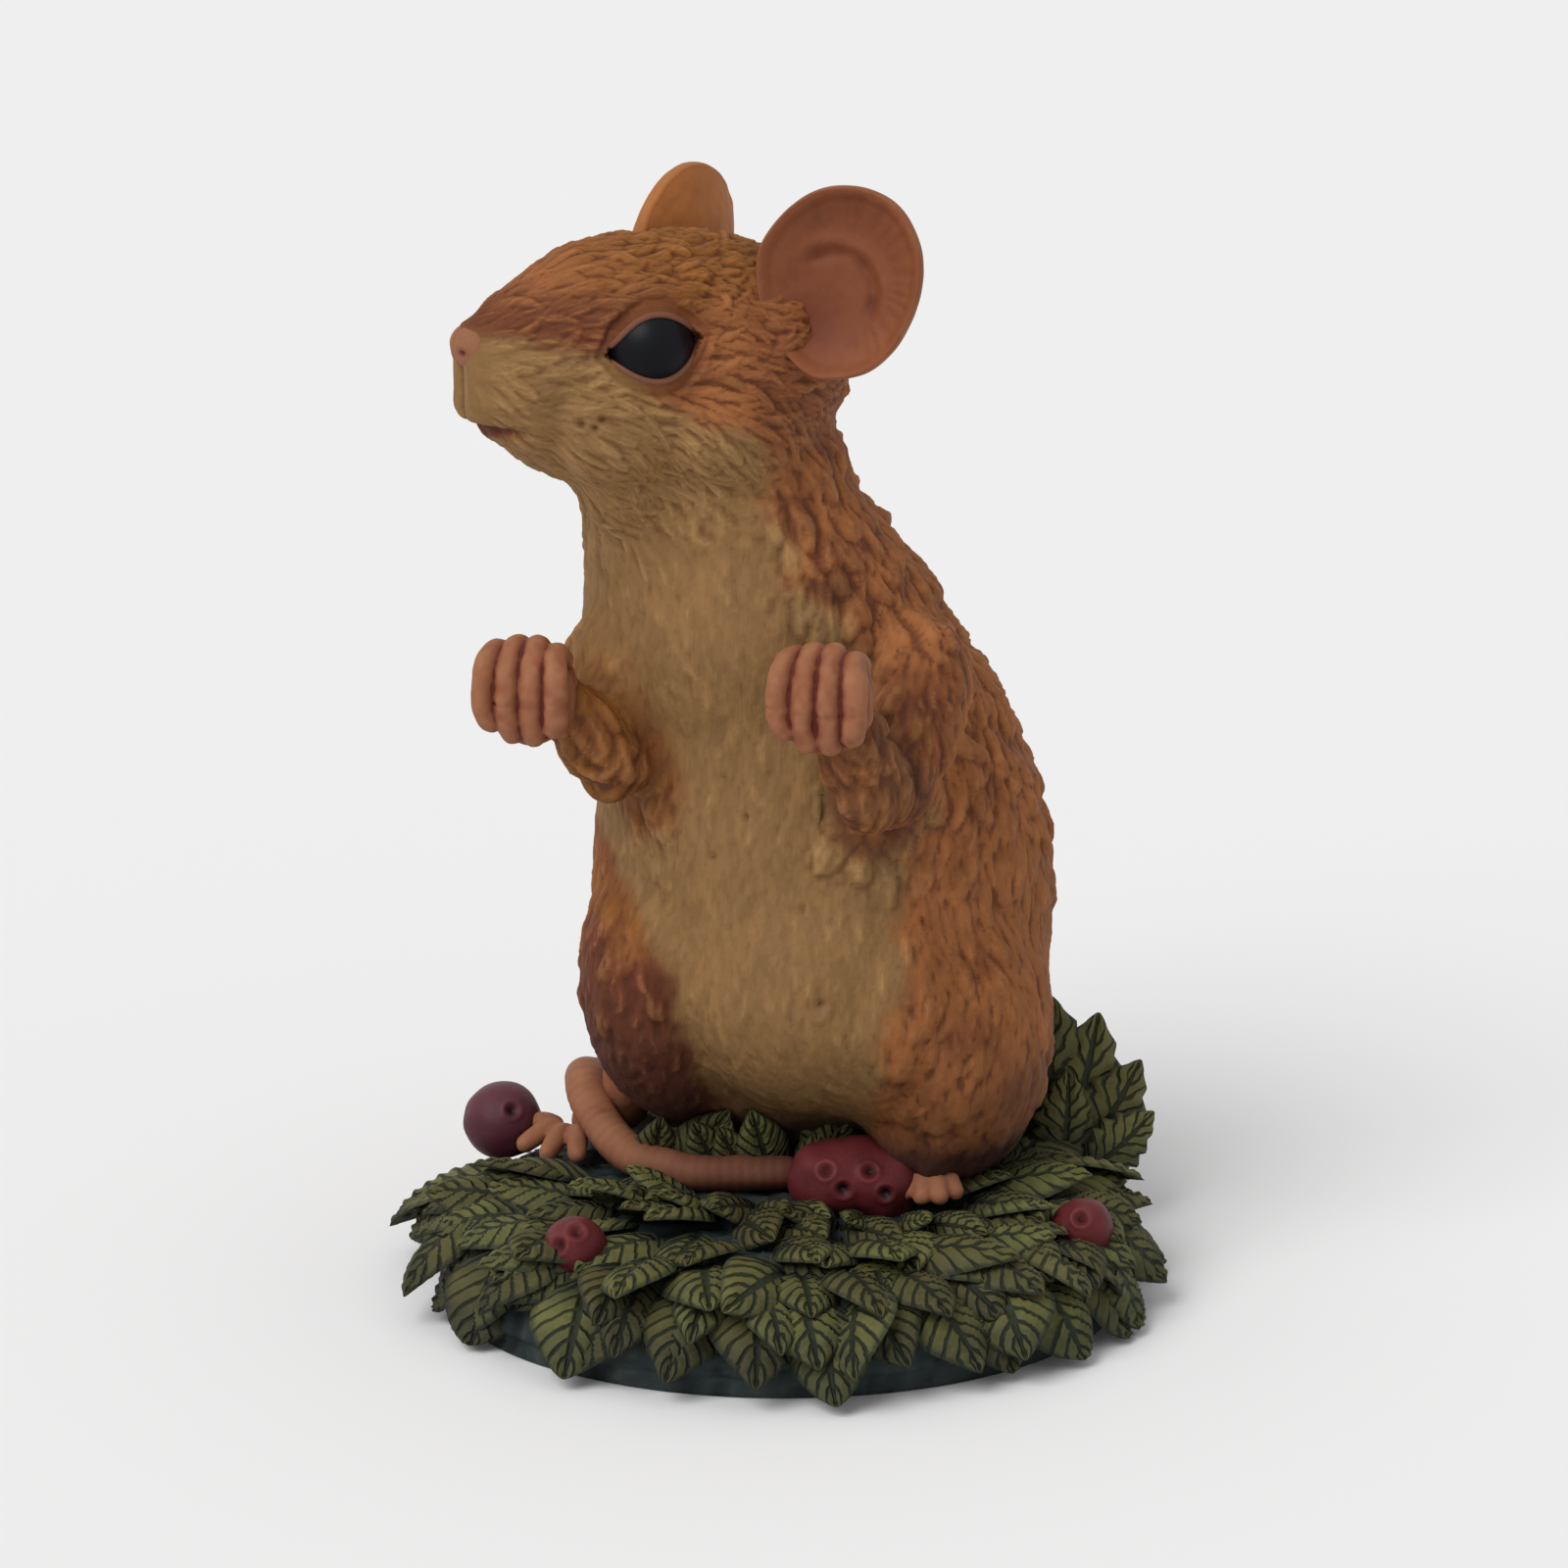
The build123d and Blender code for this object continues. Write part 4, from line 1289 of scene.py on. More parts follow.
    def regions(self, points: Array) -> dict[str, Array]:
        """Head measures and soft masks of the body's parts, from 0 to 1, at each point."""
        a, b, c = HeadFrame.measures(points)
        head = ease(-4.5, 3.5, self.over_neck(points, 73.5))
        turned = points - np.array([3.0, 9.0, 0.0])
        return {
            "a": a,
            "b": b,
            "c": c,
            "head": head,
            "muzzle": head * ease(15.0, 20.0, a),
            "lip": ease(-3.9, -4.4, c) * ease(-5.8, -5.2, c) * ease(20.8, 21.8, a),
            "front": unit(turned[:, :2]) @ np.array([-0.38, -0.925]),
            # painted shade on the near haunch, which the tone carries
            "near_haunch_shade": ease(7.0, 11.0, points[:, 0]) * ease(40.0, 33.0, points[:, 2]),
        }

    @staticmethod
    def throat(points: Array) -> Array:
        """Painted light on the throat: 1 in its middle, falling off over a few millimetres."""
        return bell(oval_gap(points, (-10.0, -6.0, 70.5), 1.0), 8.0)

    @staticmethod
    def flow(points: Array, normals: Array, masks: dict[str, Array]) -> Array:
        """The hair's direction: back along the head and down the cheek, down the body, waving a little."""
        head = masks["head"][:, None]
        a, c = masks["a"], masks["c"]
        fall = 0.10 + 0.75 * ease(3.0, -8.0, c) * ease(24.0, 6.0, a)
        back = -HeadFrame.forward - UP * fall[:, None]
        down = -UP + 0.25 * lattice_noise(points, 8.0, 5)[:, None] * np.cross(UP, normals)
        mixed = back * head + down * (1 - head)
        mixed = mixed + 0.4 * lattice_noise(points, 4.5, 6)[:, None] * np.cross(mixed, normals)
        return unit(mixed - normals * np.einsum("ij,ij->i", mixed, normals)[:, None])

    def plant(self, skin: Sculpt, normals: Array) -> list[Locks]:
        """Plants the locks of every kind on the whole skin."""
        points = skin.points
        masks = self.regions(points)
        flow = self.flow(points, normals, masks)
        cream = self.cream(points, masks)
        head = masks["head"]
        body = 1 - head
        back = body * (1 - cream)
        upper = ease(30.0, 58.0, points[:, 2])
        crown = head * ease(4.5, 8.5, masks["c"]) * ease(16.0, 8.0, masks["a"])
        jowl = head * ease(7.0, 0.0, masks["a"]) * ease(3.0, -2.0, masks["c"])
        fine_face = head * (1 - 0.6 * masks["muzzle"])
        # length, width, height, room, strands, seed, curl, stray; how thick they stand
        kinds = (
            (Tufts(5.0, 2.3, 0.85, 6.5, 3.0, 11, 0.2), back * (0.12 + 0.88 * upper)),
            (Tufts(4.0, 1.1, 0.30, 1.7, 2.0, 12, 0.2), np.clip(0.2 + 0.8 * back, 0, 1) * body),
            (Tufts(3.2, 0.75, 0.15, 0.8, 1.0, 13), body),
            (Tufts(3.2, 1.5, 0.5, 3.0, 3.0, 14, 0.45), np.maximum(crown, 0.35 * jowl)),
            (Tufts(4.6, 1.1, 0.38, 1.5, 3.0, 15, 0.25, 0.07), fine_face * (1 - 0.7 * crown)),
            (Tufts(3.0, 0.5, 0.15, 0.55, 1.0, 16, 0.2, 0.06), head),
        )
        room = 1.15 * self.cell**2
        return [
            Locks.planted(points, normals, flow, np.clip(where, 0, 1), room, kind) for kind, where in kinds
        ]

    def carve(self, skin: Sculpt, carried: Array, locks: list[Locks], coarse: int) -> dict[str, Array]:
        """Carves lids, creases and fur into one part of the skin; the border keeps to its neighbour's.

        Args:
            skin: The part, which is changed.
            carried: Outward directions of the whole skin at the part's points.
            locks: The locks of the whole skin.
            coarse: The number of points before the part was divided, or 0 if it wasn't; only the head is.

        Returns:
            The fields that the paint reads, one number for each point.
        """
        normals = unit(carried)
        is_head = coarse > 0
        start, end = skin.open_edges()
        if is_head:
            for side in Side:
                skin.points = Eye(side).shape_lids(skin.points)
            inner = np.ones(len(skin.points), dtype=bool)
            inner[skin.open_edges()[0]] = False
            normals = np.where(inner[:, None], unit(skin.relaxed(skin.normals(), 3)), normals)
        points = skin.points
        masks = self.regions(points)
        bald = self.bald(points) if is_head else np.ones(len(points))
        creases = self.creases(points, masks)
        fur, tones = np.zeros(len(points)), np.zeros(len(points))
        for lock in locks:
            height, tone = lock.carved(points, normals)
            fur = fur + height
            tones = tones + 0.5 * tone * np.minimum(1.0, lock.kind.width)
        fur = fur * bald
        softer = skin.relaxed(fur[:, None], 1, 0.3)[:, 0]
        softer[start] = fur[start]
        fur = softer
        fine = fur - skin.relaxed(fur[:, None], 6)[:, 0]
        broad = fur - skin.relaxed(fur[:, None], 40)[:, 0]
        sharp = self.head_contrast if is_head else self.body_contrast
        relief = 0.5 + sharp * (fine / 0.18 + broad / 0.55) + creases
        skin.points = points + normals * (fur + creases - self.sink * bald)[:, None]
        if is_head:
            halfway = start >= coarse
            skin.points[start[halfway]] = 0.5 * skin.points[end[halfway]]
            arriving = end >= coarse
            skin.points[end[arriving]] += 0.5 * skin.points[start[arriving]]
        cream = self.cream(points, masks)
        return {
            "cream": cream,
            "gold": self.gold(points, masks),
            "rust": self.rust(points, masks),
            "shade": self.shade(points, cream),
            "relief": np.clip(relief, 0, 1),
            # The tone holds each lock's own tone, painted light on the throat and painted shade on the near
            # haunch.
            "tone": np.clip(tones + self.throat(points) - 0.45 * masks["near_haunch_shade"], -1, 1),
            "head": masks["head"],
        }

    @staticmethod
    def bald(points: Array) -> Array:
        """0 where there is no fur: round the eyes' openings and at the nose."""
        keep = np.ones(len(points))
        for side in Side:
            x, _, z, lens = Eye(side).measures(points)
            keep = np.minimum(keep, np.where((z > -1.0) & (np.abs(x) < 6.5), ease(1.2, 1.9, lens), 1.0))
        a, _, _ = HeadFrame.measures(points)
        return keep * ease(24.4, 22.0, a)

    def creases(self, points: Array, masks: dict[str, Array]) -> Array:
        """Depth of the cleft under the nose, the mouth, the whisker pits and the small pits on the belly."""
        a, b, c = masks["a"], masks["b"], masks["c"]
        cleft = -0.55 * bell(b, 0.34) * ease(20.6, 22.0, a) * ease(-5.2, -4.4, c) * ease(1.6, 0.6, c)
        line = -4.5 - 0.02 * (a - 24.0) ** 2
        mouth = -0.45 * bell(c - line, 0.4) * ease(19.6, 20.8, a)
        pits = np.zeros(len(points))
        for place_a, place_c in self.whisker_pits:
            pits = pits - 0.55 * bell(np.hypot(a - place_a, c - place_c), 0.3) * (b > 2.0)
        on_belly = (points[:, 1] < 4.0) * (1 - masks["head"])
        for x, z in self.belly_pits:
            pits = pits - 0.45 * bell(np.hypot(points[:, 0] - x, points[:, 2] - z), 0.3) * on_belly
        return cleft + mouth + pits

    def cream(self, points: Array, masks: dict[str, Array]) -> Array:
        """1 on the throat, chest and belly, and on the cheek below a line from the nose to the nape."""
        wobble = 1.1 * lattice_noise(points, 3.2, 21) + 0.7 * lattice_noise(points, 1.2, 22)
        cheek = ease(1.3, -1.3, masks["c"] - read_table(masks["a"], self.cheek_line) + 0.6 * wobble)
        cheek = cheek * ease(-4.0, 0.5, masks["a"] + 0.8 * wobble) * (1 - masks["lip"])
        x, z = points[:, 0], points[:, 2]
        belly = ease(1.6, -1.6, x - read_table(z, self.belly_line) + 1.1 * wobble)
        belly = belly * ease(-0.25, 0.2, masks["front"] + 0.07 * wobble)
        haunch = ease(1.1, -1.1, x - read_table(z, self.haunch_line) + 0.8 * wobble)
        arm = np.zeros(len(points))
        for path, start, end in self.arm_table:
            arm = np.maximum(arm, ease(start + 0.9, end + 0.1, path_gap(points, path)))
        belly = belly * (1 - haunch) * (1 - 0.9 * arm * ease(62.0, 55.0, z))
        return np.clip(cheek * masks["head"] + belly * (1 - masks["head"]), 0, 1)

    @staticmethod
    def gold(points: Array, masks: dict[str, Array]) -> Array:
        """Golden ochre on the crown, in clouds on the flank, and at the top of the right haunch."""
        cloud = 0.5 + 0.5 * lattice_noise(points, 6.0, 31)
        crown = masks["head"] * ease(3.5, 8.0, masks["c"] + 1.5 * lattice_noise(points, 2.5, 32))
        crown = crown * ease(20.0, 8.0, masks["a"])
        flank = ease(-7.0, -11.0, points[:, 0]) * (1 - masks["head"])
        haunch = flank * ease(29.0, 35.0, points[:, 2] + 2.0 * lattice_noise(points, 2.0, 33))
        return np.clip(crown + 0.5 * cloud * (1 - masks["head"]) + 0.8 * haunch, 0, 1)

    @staticmethod
    def rust(points: Array, masks: dict[str, Array]) -> Array:
        """Red-brown on the brow and behind the eye, in patches on the back, on the arms and the haunches."""
        cloud = ease(-0.3, 0.6, lattice_noise(points, 5.0, 41) + 0.5 * lattice_noise(points, 1.8, 42))
        a, c, head = masks["a"], masks["c"], masks["head"]
        brow = ease(8.5, 4.5, c) * ease(-3.0, 0.5, c) * ease(4.0, 10.0, a)
        behind = ease(4.0, 1.0, a) * ease(8.0, 3.0, c)
        x, y, z = points.T
        flank = ease(-4.0, -8.0, x) * ease(15.0, 3.0, y + 2.0 * lattice_noise(points, 3.0, 44))
        haunch = flank * ease(36.0, 28.0, z + 2.5 * lattice_noise(points, 2.2, 43))
        arm = ease(-5.0, -9.0, y) * ease(60.0, 54.0, z) * ease(40.0, 44.0, z)
        on_head = 0.85 * brow + 0.6 * behind + masks["lip"]
        return np.clip(head * on_head + (1 - head) * (0.55 * cloud + haunch + 0.6 * arm), 0, 1)

    def shade(self, points: Array, cream: Array) -> Array:
        """Painted shade over the left paw, round its arm, low on the belly and on the right haunch."""
        over_paw = oval_gap(points, (4.4, -9.0, 63.2), (3.4, 6.0, 2.2))
        x, y, z = points.T
        haunch = ease(-5.5, -8.5, x) * ease(33.0, 22.0, z) * ease(16.0, 3.0, y) * (1 - cream)
        path, start, _ = self.arm_table[1]
        rim = 0.42 * bell(path_gap(points, path) - start - 0.7, 0.8) * (y < -4.0)
        low = 0.6 * ease(27.0, 10.0, z) + 0.5 * ease(16.5, 12.5, z)
        return np.clip(0.8 * ease(1.1, 0.3, over_paw) + low + np.maximum(0.35 * haunch, rim), 0, 0.92)

    def labels(self, points: Array) -> Array:
        """Which piece each face belongs to, by number into the piece names."""
        number = {name: place for place, name in enumerate(self.pieces)}
        label = np.full(len(points), number["torso"])
        left = oval_gap(points, (15.0, 1.6, 22.4), (9.2, 12.0, 14.8)) < 1
        right = oval_gap(points, (-10.4, 5.0, 26.6), (8.6, 12.0, 14.2)) < 1
        label[left] = number["left_haunch"]
        label[right & ~left] = number["right_haunch"]
        for name, pair in (("left_arm", self.arm_table[:2]), ("right_arm", self.arm_table[2:])):
            gap = np.minimum(*[path_gap(points, path, 10) - start * 0.96 for path, start, _ in pair])
            label[(gap < 0.9) & (points[:, 1] < 4.5) & (label == number["torso"])] = number[name]
        label[self.over_neck(points, 73.0) > 0] = number["head"]
        return label

    def build(self, fur: Material) -> None:
        """Builds, cuts apart, carves and dresses the coat."""
        skin = self.melted()
        normals = unit(skin.relaxed(skin.normals(), 6))
        locks = self.plant(skin, normals)
        label = self.labels(skin.points[skin.quads].mean(1))
        whole = Sculpt(skin.points.copy(), skin.quads, skin.edges)
        carved = []
        for number, name in enumerate(self.pieces):
            part, used = skin.part(label == number)
            carried = normals[used]
            coarse = len(part.points) if name == "head" else 0
            if coarse:
                part, carried = part.divided(carried)
            fields = self.carve(part, carried, locks, coarse)
            part.points[:, 2] = np.maximum(part.points[:, 2], self.mound_top - 0.4)
            whole.points[used] = part.points[: len(used)]
            carved.append((name, part, used, coarse, fields))
        shared = whole.normals()
        for name, part, used, coarse, fields in carved:
            form = part.closed(part.normals() if coarse else normals[used], self.seam_depth)
            extra = len(form.points) - len(part.points)
            shading = part.normals() if coarse else shared[used]
            if coarse:
                border, following = part.open_edges()
                corner = border[border < coarse]
                shading[corner] = shared[used[corner]]
                halfway = border >= coarse
                shading[border[halfway]] = shading[following[halfway]]
            own = {key: np.concatenate([value, np.zeros(extra)]) for key, value in fields.items()}
            piece = new_mesh_object(f"{name}_fur", form, own, np.vstack([shading, np.tile(-UP, (extra, 1))]))
            finish_piece(piece, fur, [name])


@dataclass
class Ear:
    """A cupped ear: a dish on a polar grid, its front and its furry back closed round a thin rim."""

    side: Side
    half_width: float
    half_height: float
    facing: tuple
    roll_deg: float
    centre: tuple
    # angle from the ear's outer side in degrees, share of the half sizes
    outline: tuple = ((0.0, 1.0),)
    cup: float = 2.1
    wall: float = 0.9
    canal: tuple = (-3.2, -3.4)
    fold_middle: tuple = (-1.2, -0.8)

    def build(self, skin: Material) -> None:
        """The ear: rings run from the back's middle over the rim to the front's middle.

        The depth is cup times the radius to the power 2.2. The rim swells and curls in, a C-shaped groove
        with a ridge outside it bounds the inner ear, and faint creases run out to the rim on one side.
        """
        face = unit(np.array(self.facing, dtype=float))
        across = unit(np.cross(UP, face))
        u_axis, v_axis = rolled(across, np.cross(face, across), self.roll_deg)
        turn = turns(192)[None, :]
        reach = np.interp(np.degrees(turn[0]), *np.array(self.outline).T, period=360.0)
        for _ in range(12):
            reach = 0.5 * reach + 0.25 * (np.roll(reach, 1) + np.roll(reach, -1))
        steps = 40
        dish = np.sin(np.linspace(0.02, math.pi / 2, steps))
        rim = np.linspace(0, math.pi, 11)[1:-1]
        radius = np.concatenate([dish, np.ones(len(rim)), dish[::-1]])[:, None]
        layer = np.concatenate([-np.ones(steps), -np.cos(rim), np.ones(steps)])[:, None]
        bulge = np.concatenate([np.zeros(steps), np.sin(rim), np.zeros(steps)])[:, None]
        front = ease(0.0, 1.0, layer) * np.ones_like(turn)
        x = (self.half_width * radius * reach + 0.3 * bulge) * np.cos(turn)
        y = (self.half_height * radius * reach + 0.3 * bulge) * np.sin(turn)
        depth = self.cup * (radius**2.2 - 1.0) + layer * self.wall * 0.5
        depth = depth + 0.35 * front * ease(0.86, 0.98, radius)
        fold_x, fold_y = x - self.fold_middle[0], y - self.fold_middle[1]
        bearing = np.arctan2(fold_y, fold_x)
        arc = ease(-0.9, -0.2, bearing) * ease(2.5, 2.0, bearing)
        root = np.hypot(fold_x, fold_y)
        groove = (0.28 * bell(root - 4.4, 0.6) - 0.42 * bell(root - 3.3, 0.5)) * arc
        canal_gap = np.hypot(x - self.canal[0], y - self.canal[1])
        outer = ease(0.5, 0.75, radius) * ease(1.0, 0.88, radius) * ease(-0.5, 0.4, np.cos(turn - 0.35))
        wave = turn * 31 + 2.5 * np.sin(turn * 3) + 1.5 * np.sin(turn * 7 + 1) + 2 * radius
        crease = 0.05 * np.cos(wave) * outer
        depth = depth + front * (groove - 0.5 * bell(canal_gap, 2.8) + crease)
        rings = (
            np.array(self.centre)
            + x[..., None] * u_axis
            + y[..., None] * v_axis
            + (depth + self.cup * 0.55)[..., None] * face
        )
        form = capped(rings)
        flat = rings.reshape(-1, 3)
        lumps = 0.7 * lattice_noise(flat, 1.9, 51) + 0.5 * lattice_noise(flat, 0.9, 52)
        form.points[: len(flat)] += (0.13 * lumps * (1 - 0.35 * front.ravel()))[:, None] * face
        relief = 0.5 + 0.7 * front * groove + 1.4 * crease * front + 0.35 * bulge
        # Painted shade deep in the cup and at the canal; the shade field also darkens the top of the inner
        # ear and leaves the rim clear.
        depth_shade = front * (0.35 * ease(0.95, 0.6, radius) + 0.5 * bell(canal_gap, 2.6))
        upper = front * 0.35 * ease(0.2, 0.9, np.sin(turn)) * ease(0.55, 0.9, radius)
        shade = np.clip(depth_shade + upper - 0.5 * ease(0.9, 1.0, radius), 0, 1)
        fields = {
            "relief": np.append(np.clip(relief.ravel() + 0.22 * lumps, 0, 1), [0.5, 0.5]),
            "shade": np.append(shade.ravel(), [0.0, 0.3]),
        }
        piece = new_mesh_object(f"{self.side.word}_ear_cup", form, fields)
        finish_piece(piece, skin, [f"{self.side.word}_ear"])


@dataclass
class Nose:
    """The nose pad with two nostrils and a faint middle line."""

    half: tuple = (1.85, 2.45, 1.95)
    place: tuple = (22.95, 0.0, 2.15)
    nostril: tuple = (1.25, -0.35)

    def build(self, skin: Material) -> None:
        """An ellipsoid whose front is pressed in at the nostrils."""
        h = HeadFrame
        centre = h.point(*self.place)
        form = ellipsoid(centre, h.axes, self.half, 56)
        offset = form.points - centre
        a, b, c = offset @ h.forward, offset @ h.left, offset @ UP
        press = 0.18 * bell(b, 0.22)
        for s in (1, -1):
            press = press + 0.5 * bell(np.hypot(b - s * self.nostril[0], (c - self.nostril[1]) * 1.3), 0.42)
        press = press * (a > 0)
        form.points = form.points - unit(offset) * press[:, None]
        fields = {"relief": np.clip(0.66 - 1.5 * press, 0, 1), "shade": 0.9 * ease(0.2, 0.5, press)}
        piece = new_mesh_object("nose_pad", form, fields)
        finish_piece(piece, skin, ["nose"])


@dataclass
class Paw:
    """A raised front paw: a palm and four fingers that arch over the knuckles and hang down."""

    side: Side
    wrist: tuple
    turn_deg: float
    width: float = 8.7
    drop: float = 9.0
    finger: float = 1.1
    finger_drops: tuple = (0.86, 0.98, 1.0, 0.88)
    voxel: float = 0.16
    quick_voxel: float = 0.24

    def build(self, skin: Material) -> None:
        """Melts palm and fingers into one skin; grooves between the fingers come out as low relief."""
        a = math.radians(self.turn_deg)
        forward = np.array([-math.sin(a), -math.cos(a), 0.0])
        left = np.array([-forward[1], forward[0], 0.0])
        wrist = np.array(self.wrist)
        axes = (left, forward, UP)
        forms = [
            ellipsoid(wrist - UP * 0.6 + forward * 0.9, axes, (self.width / 2 - 0.5, 2.7, 3.0)),
            ellipsoid(wrist - UP * 1.6 + forward * 1.85, axes, (self.width / 2 - 0.15, 2.35, 4.3)),
        ]
        places = np.linspace(-1, 1, 4) * (self.width / 2 - self.finger)
        for place, share in zip(places, self.finger_drops):
            drop = self.drop * share
            start = wrist + left * place * 0.8
            path = np.array(
                [
                    start + UP * 0.6,
                    start + forward * 1.9 + UP * (2.6 - 0.5 * (place / 3.0) ** 2),
                    wrist + left * place * 0.97 + forward * 3.6 + UP * 0.9,
                    wrist + left * place + forward * 3.9 - UP * (drop * 0.34),
                    wrist + left * (place * 0.74 + 0.3) + forward * 3.2 - UP * (drop - 3.4),
                ]
            )
            forms.append(capped(limb_rings(path, self.finger * 0.95, self.finger * 0.9, 24)))
        hand = Sculpt.from_forms(forms, voxel_edge(self.voxel))
        hand.relax(3)
        lumps = 0.11 * lattice_noise(hand.points, 1.3, 61) + 0.04 * lattice_noise(hand.points, 0.6, 63)
        hand.points = hand.points + hand.normals() * lumps[:, None]
        relief = hand.relief(40, 0.16)
        low = ease(wrist[2] + 0.5, wrist[2] - 5.5, hand.points[:, 2])
        fields = {"relief": relief, "shade": 0.2 * low + 0.75 * ease(0.46, 0.16, relief)}
        piece = new_mesh_object(f"{self.side.word}_paw_fingers", Form(hand.points, hand.quads), fields)
        finish_piece(piece, skin, [f"{self.side.word}_paw"])


@dataclass
class Foot:
    """A hind foot: a sole on the leaves and toes that fan out in front of it."""

    side: Side
    heel: tuple
    ball: tuple
    toes: tuple
    shank: tuple = ()
    toe_radius: float = 1.05
    voxel: float = 0.17
    quick_voxel: float = 0.26

    def build(self, skin: Material) -> None:
        """Melts sole and toes into one skin with knuckles."""
        heel, ball = np.array(self.heel), np.array(self.ball)
        instep = (heel + ball) / 2 + UP * 0.5
        forms = [capped(limb_rings(np.array([heel, instep, ball]), 2.3, 2.5, 32, 0.75))]
        if self.shank:
            forms.append(capped(limb_rings(np.array(self.shank), 2.6, 2.2, 32)))
        for tip in np.array(self.toes):
            knuckle = (ball * 0.45 + tip * 0.55) + UP * 0.9
            path = np.array([ball * 0.8 + tip * 0.2, knuckle, tip])
            forms.append(capped(limb_rings(path, self.toe_radius, self.toe_radius * 0.82, 22)))
        sole = Sculpt.from_forms(forms, voxel_edge(self.voxel))
        sole.relax(5)
        sole.points = sole.points + sole.normals() * (0.06 * lattice_noise(sole.points, 1.0, 62))[:, None]
        fields = {"relief": sole.relief(30, 0.34), "shade": 0.55 * ease(10.6, 8.2, sole.points[:, 2])}
        piece = new_mesh_object(f"{self.side.word}_foot_toes", Form(sole.points, sole.quads), fields)
        finish_piece(piece, skin, [f"{self.side.word}_foot"])


@dataclass
class Tail:
    """The tail, from the rump round the right ankle to the berries."""

    root_radius: float = 2.25
    tip_radius: float = 1.5
    ring_pitch: float = 0.95
    path: tuple = (
        (0.5, 20.5, 12.4),
        (-5.4, 23.4, 11.2),
        (-12.4, 22.2, 11.4),
        (-16.8, 17.4, 13.0),
        (-17.7, 12.4, 14.6),
        (-16.6, 7.8, 13.0),
        (-13.6, 3.4, 10.9),
        (-8.8, 0.4, 10.3),
        (-3.2, 0.2, 10.2),
        (1.6, 0.4, 10.2),
    )

    def build(self, skin: Material) -> None:
        """Circles along a smooth path, scored by shallow rings and roughened; the ends are half balls."""
        curve = curve_through(np.array(self.path), 400)
        length = np.linalg.norm(np.diff(curve, axis=0), axis=1).sum()
        run = np.linspace(0, length, 360)
        centres = by_length(curve, run)
        tangent = unit(by_length(curve, run + 0.2) - by_length(curve, run - 0.2))
        side = unit(np.cross(tangent, UP))
        share = run / length
        radius = self.root_radius + (self.tip_radius - self.root_radius) * share
        for past in ((run - length) / self.tip_radius + 1, 1 - run / self.root_radius):
            radius = radius * np.sqrt(1 - np.clip(past, 0, 0.98) ** 2)
        score = 0.016 * np.cos(2 * math.pi * run / self.ring_pitch)
        rings = oval_rings(centres, side, np.cross(side, tangent), radius + score, radius + score, 48)
        form = capped(rings)
        lumps = lattice_noise(form.points, 2.0, 71)[:-2].reshape(rings.shape[:2])
        outward = unit(rings - centres[:, None, :])
        form.points[:-2] += (0.07 * lumps[..., None] * outward).reshape(-1, 3)
        relief = np.clip(0.56 + 3.0 * score[:, None] + 0.3 * lumps, 0, 1)
        below = 0.6 * ease(0.2, -0.9, np.sin(turns(48)))
        shade = np.clip(below + 0.7 * ease(0.55, 0.95, share)[:, None], 0, 1)
        fields = {
            "relief": np.append(relief.ravel(), [0.5, 0.5]),
            "shade": np.append(shade.ravel(), [0.5, 0.5]),
        }
        piece = new_mesh_object("tail_skin", form, fields)
        finish_piece(piece, skin, ["tail"])


# The mound


@dataclass
class Mound:
    """The loaf under the leaves."""

    rim_run: float = 7.0
    foot: float = 1.9
    foot_inset: float = 0.5

    def __post_init__(self) -> None:
        """Reads the mound's size from the frame."""
        low, high = node_box("mound")
        self.half_length, self.half_depth = (high - low)[:2] / 2
        self.height = high[2]

    def rim(self, inset: Array) -> tuple[Array, Array]:
        """Height and outward slope in radians of the surface at an inset from the widest outline."""
        across = np.clip((self.rim_run - inset) / self.rim_run, 0.0, 1.0)
        angle = np.arccos(across)
        rise = self.height - self.foot
        slope = np.arctan2(np.cos(angle) / self.rim_run, np.sin(angle) / rise)
        return self.foot + rise * np.sin(angle), slope

    def build(self, ground: Material) -> None:
        """A polar grid from the seat's middle over the rim to the underside's middle.

        The rim is a quarter of an ellipse. Under it the side runs down, a little inset, to the flat foot.
        Soft noise roughens all but the foot.
        """
        turn = turns(360)[None, :]
        seat = np.linspace(0.03, 1.0, 26)
        rim = np.linspace(math.pi / 2, 0, 22)[1:]
        side = np.linspace(self.foot, 0.15, 6)
        # one row for each ring: inset, share of the outline, height
        seat_rows = np.stack([np.full(26, self.rim_run), seat, np.full(26, self.height)])
        rim_height = self.foot + (self.height - self.foot) * np.sin(rim)
        rim_rows = np.stack([self.rim_run * (1 - np.cos(rim)), np.ones(21), rim_height])
        side_rows = np.stack([np.full(6, self.foot_inset / 2), np.ones(6), side])
        foot_rows = np.array([[self.foot_inset, self.foot_inset], [1.0, 0.02], [0.0, 0.0]])
        rows = np.concatenate([seat_rows, rim_rows, side_rows, foot_rows], axis=1)
        inset, size, height = rows[:, :, None]
        x = (self.half_length - inset) * size * np.cos(turn)
        y = (self.half_depth - inset) * size * np.sin(turn)
        form = capped(np.stack([x, y, height * np.ones_like(turn)], axis=-1))
        points = form.points
        rough = 0.5 * lattice_noise(points * np.array([1, 1, 0.45]), 1.7, 81)
        rough = rough + 0.28 * lattice_noise(points, 0.8, 82)
        outward = unit(points * np.array([1, 1, 0.0]) + np.array([0, 0, 1e-3]))
        upward = ease(self.foot, self.height, points[:, 2])[:, None]
        push = unit(outward * (1 - upward) + UP * upward)
        form.points = points + push * (0.8 * rough * ease(0.1, 0.9, points[:, 2]))[:, None]
        piece = new_mesh_object("mound_ground", form, {"relief": np.clip(0.42 + 0.62 * rough, 0, 1)})
        finish_piece(piece, ground, ["mound"])


